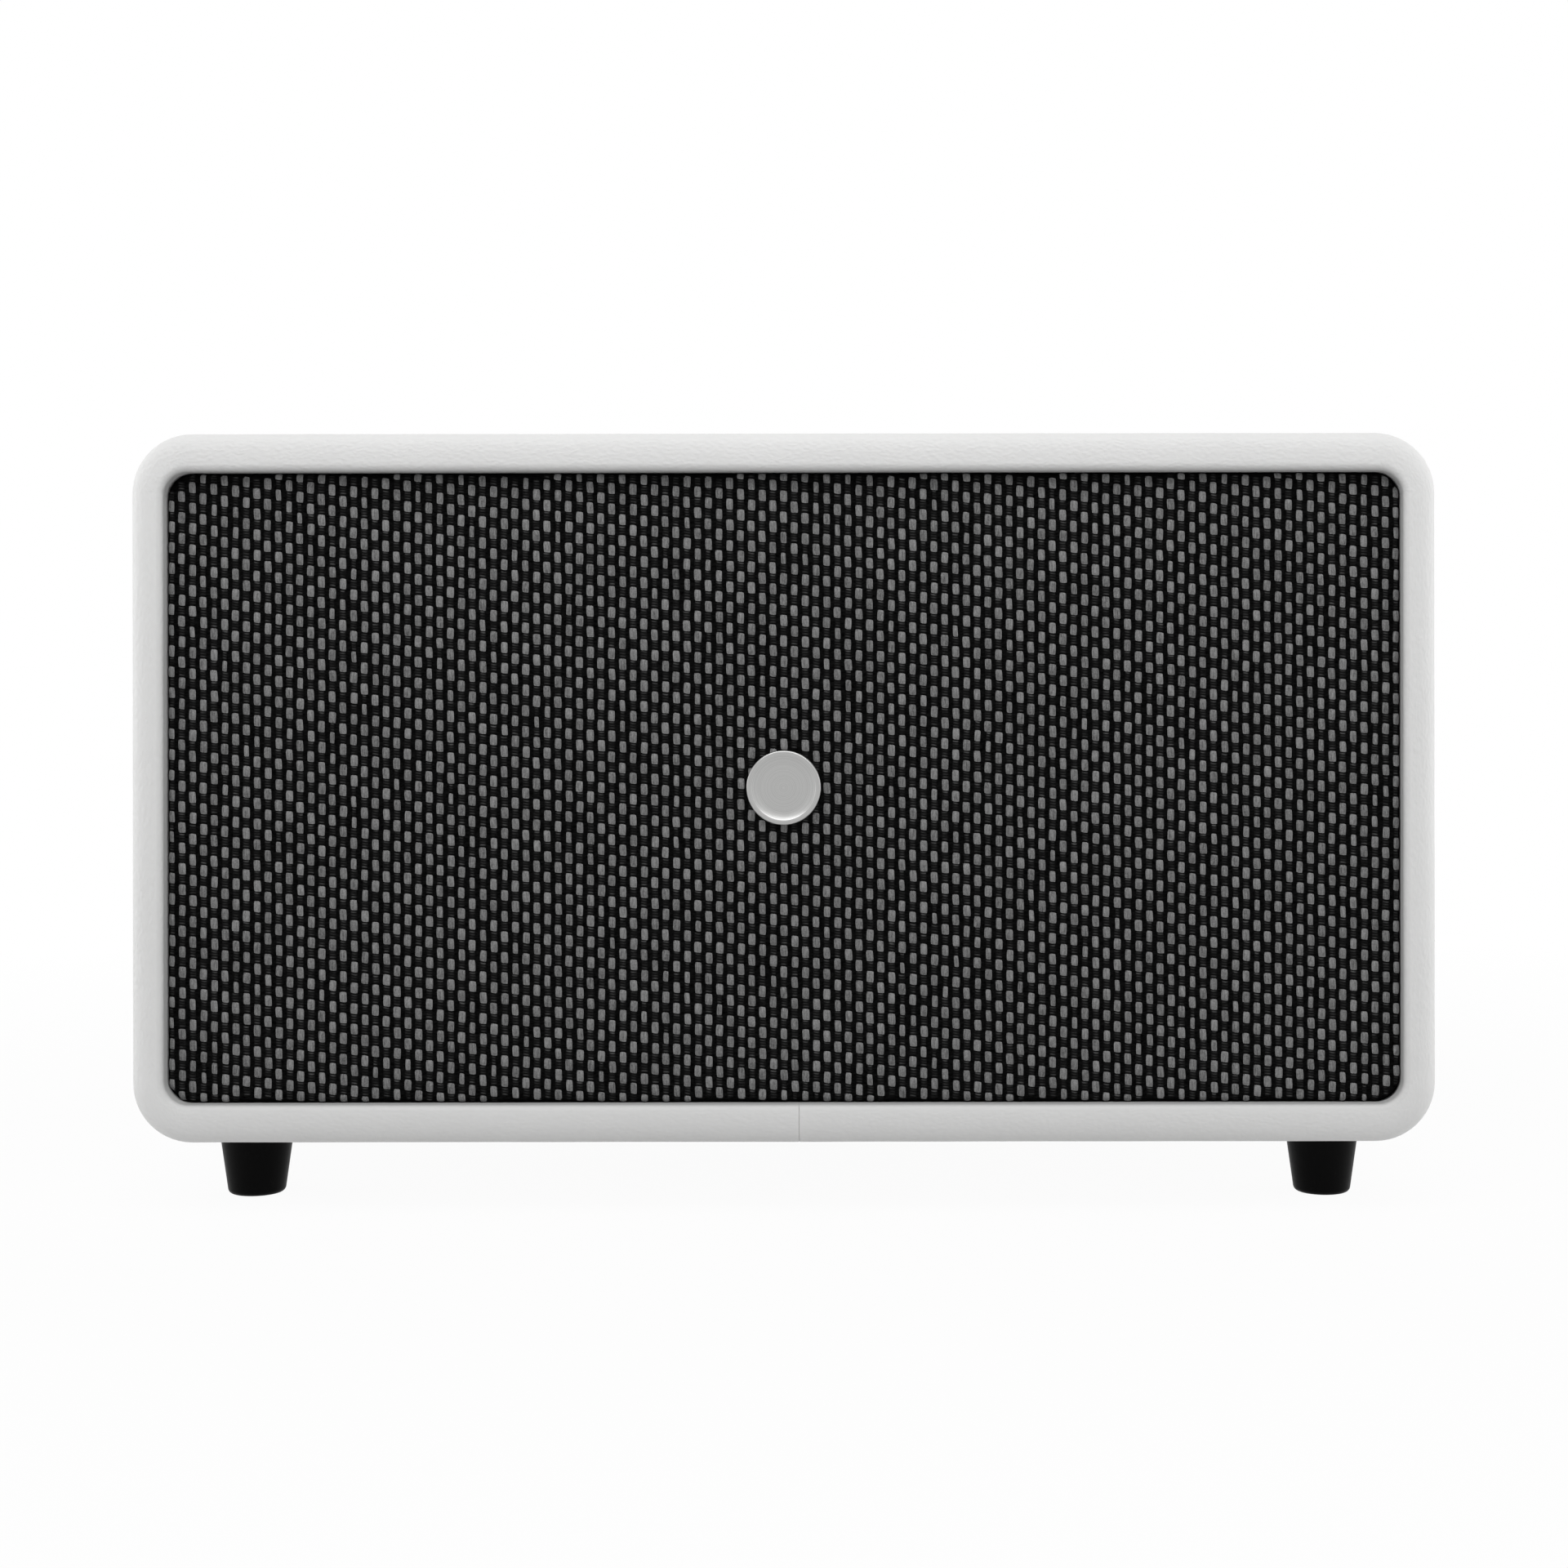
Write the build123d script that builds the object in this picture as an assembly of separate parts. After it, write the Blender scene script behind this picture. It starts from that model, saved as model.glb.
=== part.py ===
from build123d import *
import math
import os

# Leathercloth-covered table-top speaker. Millimetres, +X right, +Y back, +Z up.
# The origin is on the floor, under the middle of the cabinet, and the grille faces -Y.

# Cabinet: a wooden tube, open at the front and the back, covered in leathercloth
cabinet_width = 350.0
cabinet_height = 190.0
cabinet_depth = 180.0
corner_radius = 16.0
side_board = 7.0
top_board = 8.2
wrap = 1.0
rim_outer_fillet = 4.0
rim_inner_fillet = 2.5

# Feet
foot_height = 19.7
foot_top_d = 21.0
foot_bottom_d = 15.5
foot_edge = 1.6
foot_inset_x = 25.0
foot_inset_y = 35.0
foot_bore_d = 4.4
foot_counterbore_d = 8.4
foot_counterbore = 8.0
foot_screw_d = 4.0
foot_screw_head_d = 7.6
foot_screw_head = 2.6
foot_screw_bite = 7.0

# Grille: cloth over a ribbed frame that pegs into the baffle
cloth_setback = 4.0
cloth = 0.8
cloth_edge = 3.0
grille_gap = 0.6
frame_thickness = 4.2
frame_border = 10.0
frame_rib = 3.0
window_columns = 10
window_rows = 5
window_corner = 1.5
peg_d = 5.0
peg_length = 7.0
peg_clearance = 0.06
cup_d = 9.0
cup_depth = 8.0

# Badge: a plain disc with two pins through the cloth
badge_d = 20.0
badge_thickness = 1.8
badge_edge = 0.6
badge_pin_d = 2.0
badge_pin_pitch = 9.0
badge_pin_clearance = 0.05
badge_boss_d = 18.0

# Baffle
baffle_thickness = 9.0

# Drivers: two alike, each built about its own axis
driver_margin = 85.0
flange_width = 7.0
driver_cutout_d = 92.0
driver_sink = 0.2
rebate_clearance = 0.3
trim_ring = 0.6
surround_lip = 0.8
flange = 2.0
seal = 0.8
lip_width = 5.0
lip_margin = 0.5
surround_roll = 5.0
roll_depth = 4.6
cone_drop = 3.0
cone_wall = 0.8
cone_lip = 3.0
cone_depth = 12.0
basket_gap = 0.6
basket_wall = 1.6
basket_windows = 6
spider_level = 20.0
spider_seat = 4.4
spider = 0.6
spider_wave = 0.8
spider_folds = 8
motor_level = 31.0
coil_d = 27.2
coil_wall = 0.7
coil_length = 26.0
coil_air_gap = 0.7
top_plate_d = 62.0
top_plate = 4.0
magnet_d = 70.0
magnet_bore_d = 36.0
magnet = 13.0
yoke_plate = 5.0
pole_vent_d = 8.0
dust_cap_d = 34.0
dust_cap = 0.6
dust_cap_rise = 5.0
terminal_width = 9.0
terminal = 1.4
driver_screws_each = 4
driver_screw_d = 3.0
driver_screw_head_d = 5.4
driver_screw_head = 1.5
driver_screw_length = 6.0
screw_clearance = 0.2

# Rear panel on cleats, with a gasket
rear_setback = 2.5
rear_panel_thickness = 5.0
rear_gap = 0.5
rear_gasket = 1.5
rear_gasket_width = 10.0
cleat = 12.0
cleat_screw_d = 3.0
cleat_screw_head_d = 6.0
cleat_screw_head = 1.9
cleat_screw_length = 16.0
cleat_screw_end = 30.0

# Bass port
port_bore_d = 34.0
port_wall = 2.0
port_length = 66.0
port_flange_d = 50.0
port_flange = 2.0
port_margin = 7.0
port_mouth = 1.2

# Inputs at the back
input_drop = 45.0
input_plate_width = 84.0
input_plate_height = 34.0
input_plate_thickness = 1.5
input_plate_corner = 3.0
inlet_offset = 42.0
inlet_width = 24.0
inlet_height = 15.0
inlet_depth = 22.0
inlet_well_depth = 12.0
inlet_lobe_d = 9.6
inlet_pin_pitch = 8.6
inlet_pin_d = 2.4
inlet_pin_length = 10.0
jack_inset = 14.0
jack_bore_d = 3.6
jack_bore_depth = 15.0
jack_nose_d = 8.0
jack_body = 11.0
plate_screw_d = 2.4
plate_screw_head_d = 4.6
plate_screw_head = 0.9
plate_screw_length = 6.0
plate_screw_inset = 4.0
part_clearance = 0.2

# Circuit boards on the rear panel
board = 1.6
standoff = 12.0
standoff_d = 6.0
board_inset = 5.0
board_screw_d = 2.5
board_screw_head_d = 4.8
board_screw_head = 1.6
amp_board_width = 100.0
amp_board_height = 70.0
board_gap = 11.0
amp_board_drop = 30.0
supply_board_width = 100.0
supply_board_height = 70.0
board_margin = 2.0
supply_board_rise = 15.0
connector_width = 8.0
connector_height = 6.0
connector_depth = 8.0
heat_sink_width = 40.0
heat_sink_height = 24.0
heat_sink_depth = 20.0
heat_sink_base = 4.0
heat_sink_fins = 7
heat_sink_fin = 2.0
capacitor_d = 12.0
capacitor_height = 18.0
transformer_width = 30.0
transformer_height = 26.0
transformer_depth = 22.0
radio_width = 20.0
radio_height = 16.0
radio_depth = 3.0
component_corner = 1.0

# Controls in the top
control_length = 144.0
control_width = 24.0
control_thickness = 3.0
control_corner = 6.0
control_sink = 0.6
control_gap = 0.3
control_ledge = 4.0
button_names = ["power_button", "source_button", "volume_down_button", "volume_up_button", "mute_button"]
button_pitch = 22.0
button_d = 12.4
button_clearance = 0.3
button_proud = 0.5
button_edge = 0.4
button_flange_d = 15.0
button_flange = 1.2
button_travel = 0.8
button_stem_d = 3.0
stem_engagement = 1.0
stem_clearance = 0.3
switch_width = 6.0
switch_height = 3.6
control_board_gap = 7.0
control_board_clearance = 1.0
boss_d = 4.0
boss_x = 56.0
boss_y = 4.6
lens_d = 2.4
lens_x = 63.0
lens_clearance = 0.1
mic_hole_d = 1.4
mic_x = 67.0

# Leads and damping
lead_d = 2.8
lead_run = 30.0
lead_bend = 8.0
pad_thickness = 12.0
pad_depth = 100.0
pad_height = 110.0
pad_gap = 0.2

# Places worked out from the sizes above
floor_z = foot_height
top_z = foot_height + cabinet_height
middle_z = foot_height + cabinet_height / 2
front_y = -cabinet_depth / 2
rear_y = cabinet_depth / 2
side_rim = side_board + 2 * wrap
top_rim = top_board + 2 * wrap
opening_width = cabinet_width - 2 * side_rim
opening_height = cabinet_height - 2 * top_rim
opening_radius = corner_radius - side_rim
bore_width = opening_width + 2 * wrap
bore_height = opening_height + 2 * wrap
bore_radius = opening_radius + wrap
cloth_y = front_y + cloth_setback
baffle_y = cloth_y + cloth + frame_thickness
baffle_back_y = baffle_y + baffle_thickness
rear_face_y = rear_y - rear_setback
rear_inner_y = rear_face_y - rear_panel_thickness
cleat_y = rear_inner_y - rear_gasket
board_back_y = rear_inner_y - standoff
board_y = board_back_y - board
grille_width = opening_width - 2 * grille_gap
grille_height = opening_height - 2 * grille_gap
grille_radius = opening_radius - grille_gap
frame_width = grille_width - 2 * cloth
frame_height = grille_height - 2 * cloth
frame_radius = grille_radius - cloth
driver_y = baffle_y + driver_sink
driver_flange_d = driver_cutout_d + 2 * flange_width
driver_x = bore_width / 2 - driver_margin
driver_xs = {"left": -driver_x, "right": driver_x}
input_z = middle_z - input_drop
port_x = bore_width / 2 - cleat - port_margin - port_flange_d / 2
supply_board_x = supply_board_width / 2 + board_margin + cleat - bore_width / 2
amp_board_x = supply_board_x + supply_board_width / 2 + board_gap + amp_board_width / 2
jack_x = amp_board_x - amp_board_width / 2 + jack_inset
inlet_x = jack_x - inlet_offset
input_x = (jack_x + inlet_x) / 2
amp_board_z = middle_z - amp_board_drop
supply_board_z = middle_z + supply_board_rise
amp_board_place = (amp_board_x, amp_board_z, amp_board_width, amp_board_height)
supply_board_place = (supply_board_x, supply_board_z, supply_board_width, supply_board_height)
control_top_z = top_z - control_sink
control_under_z = control_top_z - control_thickness
control_board_z = control_under_z - control_board_gap
switch_top_z = control_board_z + switch_height
inner_top_z = top_z - wrap - top_board
button_xs = [(i - (len(button_names) - 1) / 2) * button_pitch for i in range(len(button_names))]

# Levels down a driver's axis, measured back from the front of its trim ring
lip_level = trim_ring
flange_level = lip_level + surround_lip
seal_level = flange_level + flange
seat_level = seal_level + seal
cone_level = flange_level + cone_drop
ledge_level = spider_level + basket_wall
plate_level = motor_level + basket_wall
magnet_level = plate_level + top_plate
yoke_level = magnet_level + magnet
yoke_back = yoke_level + yoke_plate
neck_level = cone_level + cone_depth

# Radii of a driver
flange_r = driver_flange_d / 2
cutout_r = driver_cutout_d / 2
coil_r = coil_d / 2
roll_outer_r = cutout_r - lip_width
roll_inner_r = roll_outer_r - surround_roll
cone_r = roll_inner_r - cone_lip
basket_r = roll_outer_r + basket_gap
lower_r = coil_r + spider_seat * 3.5
spider_r = lower_r + spider_seat


def slab(sketch, y_front, y_back):
    """Extrudes a sketch drawn in X and Z from y_front to y_back."""
    return extrude(Plane((0, y_back, 0), x_dir=(1, 0, 0), z_dir=(0, -1, 0)) * sketch, y_back - y_front)


def plate(sketch, z_low, z_high):
    """Extrudes a sketch drawn in X and Y from z_low to z_high."""
    return extrude(Pos(0, 0, z_low) * sketch, z_high - z_low)


def rod_y(x, z, d, y_front, y_back):
    return slab(Pos(x, z) * Circle(d / 2), y_front, y_back)


def rod_z(x, y, d, z_low, z_high):
    return plate(Pos(x, y) * Circle(d / 2), z_low, z_high)


def block(x, z, width, height, y_front, y_back):
    """A block with softened corners, centred on x and z."""
    return slab(Pos(x, z) * RectangleRounded(width, height, component_corner), y_front, y_back)


def frontal(width, height, radius, y_front, y_back):
    """A rounded rectangle about the cabinet's axis."""
    return slab(Pos(0, middle_z) * RectangleRounded(width, height, radius), y_front, y_back)


def turned(points):
    """A solid of revolution about the Y axis from points of radius and distance along Y."""
    return revolve(make_face(Polyline(*points, close=True)), Axis.Y)


def group(solids):
    """Separate solids in one node."""
    return Compound(children=list(solids))


def rounded_rims(tube, outer, inner):
    """Rounds the outer and inner edges at both open ends of the cabinet tube."""
    for end in (0, -1):
        tube = fillet(tube.faces().sort_by(Axis.Y)[end].outer_wire().edges(), outer)
        tube = fillet(tube.faces().sort_by(Axis.Y)[end].inner_wires()[0].edges(), inner)
    return tube


def foot_places():
    """Each foot's name with its x and y."""
    x = cabinet_width / 2 - foot_inset_x
    y = cabinet_depth / 2 - foot_inset_y
    return {
        "foot_front_left": (-x, -y),
        "foot_front_right": (x, -y),
        "foot_rear_left": (-x, y),
        "foot_rear_right": (x, y),
    }


def peg_places():
    """The grille pegs: four corners and the middle of the long sides."""
    x = frame_width / 2 - frame_border / 2
    z = frame_height / 2 - frame_border / 2
    return [(px, middle_z + pz) for px in (-x, 0, x) for pz in (-z, z)]


def cleat_screw_places():
    """Screws through the rear panel: near the ends and in the middle of each cleat."""
    x = bore_width / 2 - cleat / 2
    z = bore_height / 2 - cleat / 2
    along_x = bore_width / 2 - cleat_screw_end
    along_z = bore_height / 2 - cleat_screw_end
    long_sides = [(px, middle_z + pz) for px in (-along_x, 0, along_x) for pz in (-z, z)]
    short_sides = [(px, middle_z + pz) for px in (-x, x) for pz in (-along_z, along_z)]
    return long_sides + short_sides


def plate_screw_places():
    x = input_plate_width / 2 - plate_screw_inset
    z = input_plate_height / 2 - plate_screw_inset
    return [(input_x + px, input_z + pz) for px in (-x, x) for pz in (-z, z)]


def board_places(x, z, width, height):
    """The four corner fixings of a board."""
    dx, dz = width / 2 - board_inset, height / 2 - board_inset
    return [(x + px, z + pz) for px in (-dx, dx) for pz in (-dz, dz)]


def all_board_places():
    return board_places(*amp_board_place) + board_places(*supply_board_place)


def cross_slot(d, depth):
    """The cross recess of a screw head, along Y from the head's outer face at y 0."""
    arm, width = d * 0.56, d * 0.14
    return slab(Rectangle(arm, width), -depth, 0) + slab(Rectangle(width, arm), -depth, 0)


def rear_screw(x, z, y_seat, d, head_d, head, length):
    """A pan-head screw driven from behind, with its head on y_seat."""
    body = rod_y(x, z, d, y_seat - length, y_seat) + rod_y(x, z, head_d, y_seat, y_seat + head)
    return body - Pos(x, y_seat + head, z) * cross_slot(head_d, head / 2)


def front_screw(x, z, y_seat, d, head_d, head, length):
    """A pan-head screw driven from the front, with its head on y_seat."""
    body = rod_y(x, z, d, y_seat, y_seat + length) + rod_y(x, z, head_d, y_seat - head, y_seat)
    return body - Pos(x, y_seat - head / 2, z) * cross_slot(head_d, head / 2)


def control_outline(grow):
    """The control panel's outline, grown by a margin."""
    return RectangleRounded(control_length + 2 * grow, control_width + 2 * grow, control_corner + grow)


def control_cutout():
    """A pocket in the top for the control panel, and a hole for what hangs from it."""
    pocket = plate(control_outline(control_gap), control_under_z, top_z)
    hole = plate(control_outline(-control_ledge), inner_top_z - wrap, control_under_z)
    return pocket + hole


def foot_screw_holes():
    return [rod_z(x, y, foot_screw_d, floor_z, floor_z + foot_screw_bite) for x, y in foot_places().values()]


def cabinet_shell():
    block_out = frontal(cabinet_width - 2 * wrap, cabinet_height - 2 * wrap, corner_radius - wrap,
                        front_y + wrap, rear_y - wrap)
    tube = block_out - frontal(bore_width, bore_height, bore_radius, front_y, rear_y)
    tube = rounded_rims(tube, rim_outer_fillet - wrap, rim_inner_fillet - wrap)
    return tube


def leather_wrap(shell):
    """The leathercloth skin, turned in over the front and rear rims as far as the baffle and the cleats."""
    skin = frontal(cabinet_width, cabinet_height, corner_radius, front_y, rear_y)
    skin -= frontal(opening_width, opening_height, opening_radius, front_y, rear_y)
    skin = rounded_rims(skin, rim_outer_fillet, rim_inner_fillet)
    skin -= frontal(bore_width, bore_height, bore_radius, baffle_y, cleat_y)
    return skin - shell


def grille_block(width, height, radius, y_front, edge):
    """A flat panel with its front edge rounded, standing on the baffle."""
    panel = frontal(width, height, radius, y_front, baffle_y)
    return fillet(panel.faces().sort_by(Axis.Y)[0].edges(), edge)


def badge_pins(d):
    y_back = cloth_y + cloth + frame_thickness
    return [rod_y(s * badge_pin_pitch / 2, middle_z, d, cloth_y, y_back) for s in (-1, 1)]


def grille_frame():
    inner_width, inner_height = frame_width - 2 * frame_border, frame_height - 2 * frame_border
    step_x = (inner_width + frame_rib) / window_columns
    step_z = (inner_height + frame_rib) / window_rows
    window = RectangleRounded(step_x - frame_rib, step_z - frame_rib, window_corner)
    windows = GridLocations(step_x, step_z, window_columns, window_rows) * window
    frame = grille_block(frame_width, frame_height, frame_radius, cloth_y + cloth, cloth_edge - cloth)
    frame -= slab(Pos(0, middle_z) * Sketch(children=windows), cloth_y, baffle_y)
    frame += rod_y(0, middle_z, badge_boss_d, cloth_y + cloth, baffle_y)
    for x, z in peg_places():
        frame += rod_y(x, z, peg_d, baffle_y, baffle_y + peg_length)
    return frame - badge_pins(badge_pin_d + 2 * badge_pin_clearance)


def grille_cloth():
    """The cloth stretched over the frame's face and edges."""
    skin = grille_block(grille_width, grille_height, grille_radius, cloth_y, cloth_edge)
    skin -= grille_block(frame_width, frame_height, frame_radius, cloth_y + cloth, cloth_edge - cloth)
    return skin - badge_pins(badge_pin_d + 2 * badge_pin_clearance)


def badge():
    disc = rod_y(0, middle_z, badge_d, cloth_y - badge_thickness, cloth_y)
    disc = chamfer(disc.faces().sort_by(Axis.Y)[0].edges(), badge_edge)
    for pin in badge_pins(badge_pin_d):
        disc += pin
    return disc


def grille_cups():
    """Rubber cups in the baffle that grip the grille's pegs."""
    bore = peg_d + 2 * peg_clearance
    cups = []
    for x, z in peg_places():
        cup = rod_y(x, z, cup_d, baffle_y, baffle_y + cup_depth)
        cups.append(cup - rod_y(x, z, bore, baffle_y, baffle_y + peg_length + peg_clearance))
    return group(cups)


def driver_screw_places(x):
    r = (driver_cutout_d + driver_flange_d) / 4
    turn = 2 * math.pi / driver_screws_each
    angles = [(i + 0.5) * turn for i in range(driver_screws_each)]
    return [(x + r * math.cos(a), middle_z + r * math.sin(a)) for a in angles]


def basket(side):
    """The pressed-steel frame: flange, open wall, spider ledge and motor seat."""
    upper_out = basket_r + basket_wall
    ledge_out = spider_r + basket_wall
    lower_out = lower_r + basket_wall
    shape = turned([
        (basket_r, flange_level), (flange_r, flange_level), (flange_r, seal_level), (upper_out, seal_level),
        (ledge_out, spider_level), (ledge_out, ledge_level), (lower_out, ledge_level),
        (lower_out, plate_level), (coil_r + 2 * coil_air_gap, plate_level),
        (coil_r + 2 * coil_air_gap, motor_level), (lower_r, motor_level), (lower_r, spider_level),
        (spider_r, spider_level), (basket_r, seal_level),
    ])
    upper_gap = (seal_level + 3 * basket_wall, spider_level - 2 * basket_wall)
    lower_gap = (ledge_level + basket_wall, motor_level - basket_wall)
    for i in range(basket_windows):
        turn = Rot(0, (i + 0.5) * 360 / basket_windows, 0)
        for low, high in (upper_gap, lower_gap):
            shape -= turn * slab(Pos(flange_r / 2, 0) * Rectangle(flange_r, lower_r * 0.8), low, high)
    towards_middle = 1 if side == "left" else -1
    reach = cutout_r - terminal - spider_r
    tab = Pos(towards_middle * (spider_r + reach / 2), 0) * Rectangle(reach, terminal_width)
    tab_level = (seal_level + spider_level) / 2
    return shape + slab(tab, tab_level, tab_level + terminal)


def surround():
    """A rolled rubber edge that dips behind the flange."""
    front, back = lip_level, flange_level
    inner_front, inner_back = cone_level - surround_lip, cone_level
    middle_r = (roll_outer_r + roll_inner_r) / 2
    dip = (front + inner_front) / 2 + roll_depth / 2
    lip_r = cutout_r + lip_margin
    edge = Polyline((roll_outer_r, back), (lip_r, back), (lip_r, front), (roll_outer_r, front))
    edge += ThreePointArc((roll_outer_r, front), (middle_r, dip), (roll_inner_r, inner_front))
    edge += Polyline((roll_inner_r, inner_front), (cone_r, inner_front), (cone_r, inner_back),
                     (roll_inner_r, inner_back))
    edge += ThreePointArc((roll_inner_r, inner_back), (middle_r, dip + surround_lip), (roll_outer_r, back))
    return revolve(make_face(edge), Axis.Y)


def cone():
    return turned([
        (roll_inner_r, cone_level), (cone_r, cone_level), (coil_r, neck_level),
        (coil_r, neck_level + cone_wall), (cone_r, cone_level + cone_wall),
        (roll_inner_r, cone_level + cone_wall),
    ])


def cone_front(r):
    """How far back the cone's front face is at a radius."""
    return cone_level + (cone_r - r) * cone_depth / (cone_r - coil_r)


def dust_cap_dome():
    """A shallow spherical dome glued to the cone over the voice coil."""
    rim_r = dust_cap_d / 2
    rim = cone_front(rim_r)
    sphere_r = (rim_r ** 2 + dust_cap_rise ** 2) / (2 * dust_cap_rise)
    centre = rim - dust_cap_rise + sphere_r
    edges = []
    for r in (sphere_r, sphere_r - dust_cap):
        end = math.sqrt(r ** 2 - (centre - rim) ** 2)
        half = math.asin(end / r) / 2
        middle = (r * math.sin(half), centre - r * math.cos(half))
        edges.append(((0, centre - r), middle, (end, rim)))
    front, back = edges
    outline = ThreePointArc(*front) + Line(front[2], back[2]) + ThreePointArc(*back) + Line(back[0], front[0])
    return revolve(make_face(outline), Axis.Y)


def voice_coil():
    start = neck_level + 2 * cone_wall - cone_lip
    return turned([
        (coil_r - coil_wall, start), (coil_r, start),
        (coil_r, start + coil_length), (coil_r - coil_wall, start + coil_length),
    ])


def spider_disc():
    """The folded cloth disc that centres the coil, seated on the basket's ledge."""
    flat_r = lower_r + spider
    step = (flat_r - coil_r - spider_seat / 2) / spider_folds
    waves = [spider_wave * (i % 2) for i in range(spider_folds + 1)]
    folds = [(flat_r - i * step, spider_level - spider - wave) for i, wave in enumerate(waves)]
    front = [(spider_r, spider_level - spider)] + folds + [(coil_r, folds[-1][1])]
    back = [(r, level + spider) for r, level in reversed(front)]
    return turned(front + back)


def top_plate_ring():
    r = coil_r + coil_air_gap
    return turned([
        (r, plate_level), (top_plate_d / 2, plate_level), (top_plate_d / 2, magnet_level), (r, magnet_level),
    ])


def magnet_ring():
    return turned([
        (magnet_bore_d / 2, magnet_level), (magnet_d / 2, magnet_level),
        (magnet_d / 2, yoke_level), (magnet_bore_d / 2, yoke_level),
    ])


def yoke():
    """The back plate and pole piece, in one."""
    pole_r = coil_r - coil_wall - coil_air_gap
    vent_r = pole_vent_d / 2
    return turned([
        (vent_r, plate_level), (pole_r, plate_level), (pole_r, yoke_level), (top_plate_d / 2, yoke_level),
        (top_plate_d / 2, yoke_back), (vent_r, yoke_back),
    ])


def ring(inner_r, outer_r, low, high):
    return turned([(inner_r, low), (outer_r, low), (outer_r, high), (inner_r, high)])


def driver(side):
    """One driver's basket and moving pieces by node name, in place."""
    x = driver_xs[side]
    place = Pos(x, driver_y, middle_z)
    return {
        f"{side}_basket": place * basket(side) - driver_screw_holes(x),
        f"{side}_surround": place * surround(),
        f"{side}_cone": place * cone(),
        f"{side}_dust_cap": place * dust_cap_dome(),
        f"{side}_voice_coil": place * voice_coil(),
        f"{side}_spider": place * spider_disc(),
    }


def driver_screw_holes(x):
    d = driver_screw_d + 2 * screw_clearance
    return [rod_y(sx, sz, d, baffle_y, driver_y + seat_level) for sx, sz in driver_screw_places(x)]


def driver_pairs():
    """The pieces that are alike in both drivers, one node for each kind."""
    places = [Pos(x, driver_y, middle_z) for x in driver_xs.values()]
    seal_ring = ring(cutout_r + lip_margin, flange_r, seal_level, seat_level)
    seals = [Pos(x, driver_y, middle_z) * seal_ring - driver_screw_holes(x) for x in driver_xs.values()]
    return {
        "trim_rings": group(p * ring(roll_outer_r, cutout_r + lip_margin, 0, lip_level) for p in places),
        "driver_seals": group(seals),
        "top_plates": group(p * top_plate_ring() for p in places),
        "magnets": group(p * magnet_ring() for p in places),
        "yokes": group(p * yoke() for p in places),
    }


def driver_screws():
    seat_y = driver_y + flange_level
    places = [p for x in driver_xs.values() for p in driver_screw_places(x)]
    return group(front_screw(x, z, seat_y, driver_screw_d, driver_screw_head_d, driver_screw_head,
                             driver_screw_length) for x, z in places)


def front_baffle():
    panel = frontal(bore_width, bore_height, bore_radius, baffle_y, baffle_back_y)
    for x in driver_xs.values():
        panel -= rod_y(x, middle_z, driver_flange_d + 2 * rebate_clearance, baffle_y, driver_y + seat_level)
        panel -= rod_y(x, middle_z, driver_cutout_d, baffle_y, baffle_back_y)
        screw_end = driver_y + flange_level + driver_screw_length
        for sx, sz in driver_screw_places(x):
            panel -= rod_y(sx, sz, driver_screw_d, baffle_y, screw_end)
    for x, z in peg_places():
        panel -= rod_y(x, z, cup_d, baffle_y, baffle_y + cup_depth)
    return panel


def feet():
    """Tapered feet, each with a counterbored hole for its screw."""
    shapes = {}
    for name, (x, y) in foot_places().items():
        foot = Pos(0, 0, floor_z / 2) * Cone(foot_bottom_d / 2, foot_top_d / 2, foot_height)
        foot = fillet(foot.faces().sort_by(Axis.Z)[0].edges(), foot_edge)
        foot -= rod_z(0, 0, foot_counterbore_d, 0, foot_counterbore)
        foot -= rod_z(0, 0, foot_bore_d, 0, floor_z)
        shapes[name] = Pos(x, y, 0) * foot
    return shapes


def foot_screws():
    screws = []
    for x, y in foot_places().values():
        shank = rod_z(x, y, foot_screw_d, foot_counterbore, floor_z + foot_screw_bite)
        head = rod_z(x, y, foot_screw_head_d, foot_counterbore - foot_screw_head, foot_counterbore)
        slot = Rot(90, 0, 0) * cross_slot(foot_screw_head_d, foot_screw_head / 2)
        slot_z = foot_counterbore - foot_screw_head + foot_screw_head / 2
        screws.append(shank + head - Pos(x, y, slot_z) * slot)
    return group(screws)


def rear_cleats():
    """Wooden strips inside the back of the cabinet that carry the rear panel."""
    y_front = cleat_y - cleat
    x, z = bore_width / 2 - cleat / 2, bore_height / 2 - cleat / 2
    long_strip = Rectangle(bore_width - 2 * bore_radius, cleat)
    short_strip = Rectangle(cleat, bore_height - 2 * cleat)
    strips = [slab(Pos(0, middle_z + s * z) * long_strip, y_front, cleat_y) for s in (-1, 1)]
    strips += [slab(Pos(s * x, middle_z) * short_strip, y_front, cleat_y) for s in (-1, 1)]
    holes = [rod_y(px, pz, cleat_screw_d, rear_face_y - cleat_screw_length, cleat_y)
             for px, pz in cleat_screw_places()]
    return group(strip - holes for strip in strips)


def panel_screw_holes():
    d = cleat_screw_d + 2 * screw_clearance
    return [rod_y(x, z, d, cleat_y, rear_face_y) for x, z in cleat_screw_places()]


def rear_gasket_ring():
    width, height = opening_width - 2 * rear_gap, opening_height - 2 * rear_gap
    outer = frontal(width, height, opening_radius - rear_gap, cleat_y, rear_inner_y)
    inner = frontal(width - 2 * rear_gasket_width, height - 2 * rear_gasket_width,
                    opening_radius, cleat_y, rear_inner_y)
    return outer - inner - panel_screw_holes()


def inlet_outline(grow):
    width, height = inlet_width + 2 * grow, inlet_height + 2 * grow
    return Pos(inlet_x, input_z) * RectangleRounded(width, height, component_corner)


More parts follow.
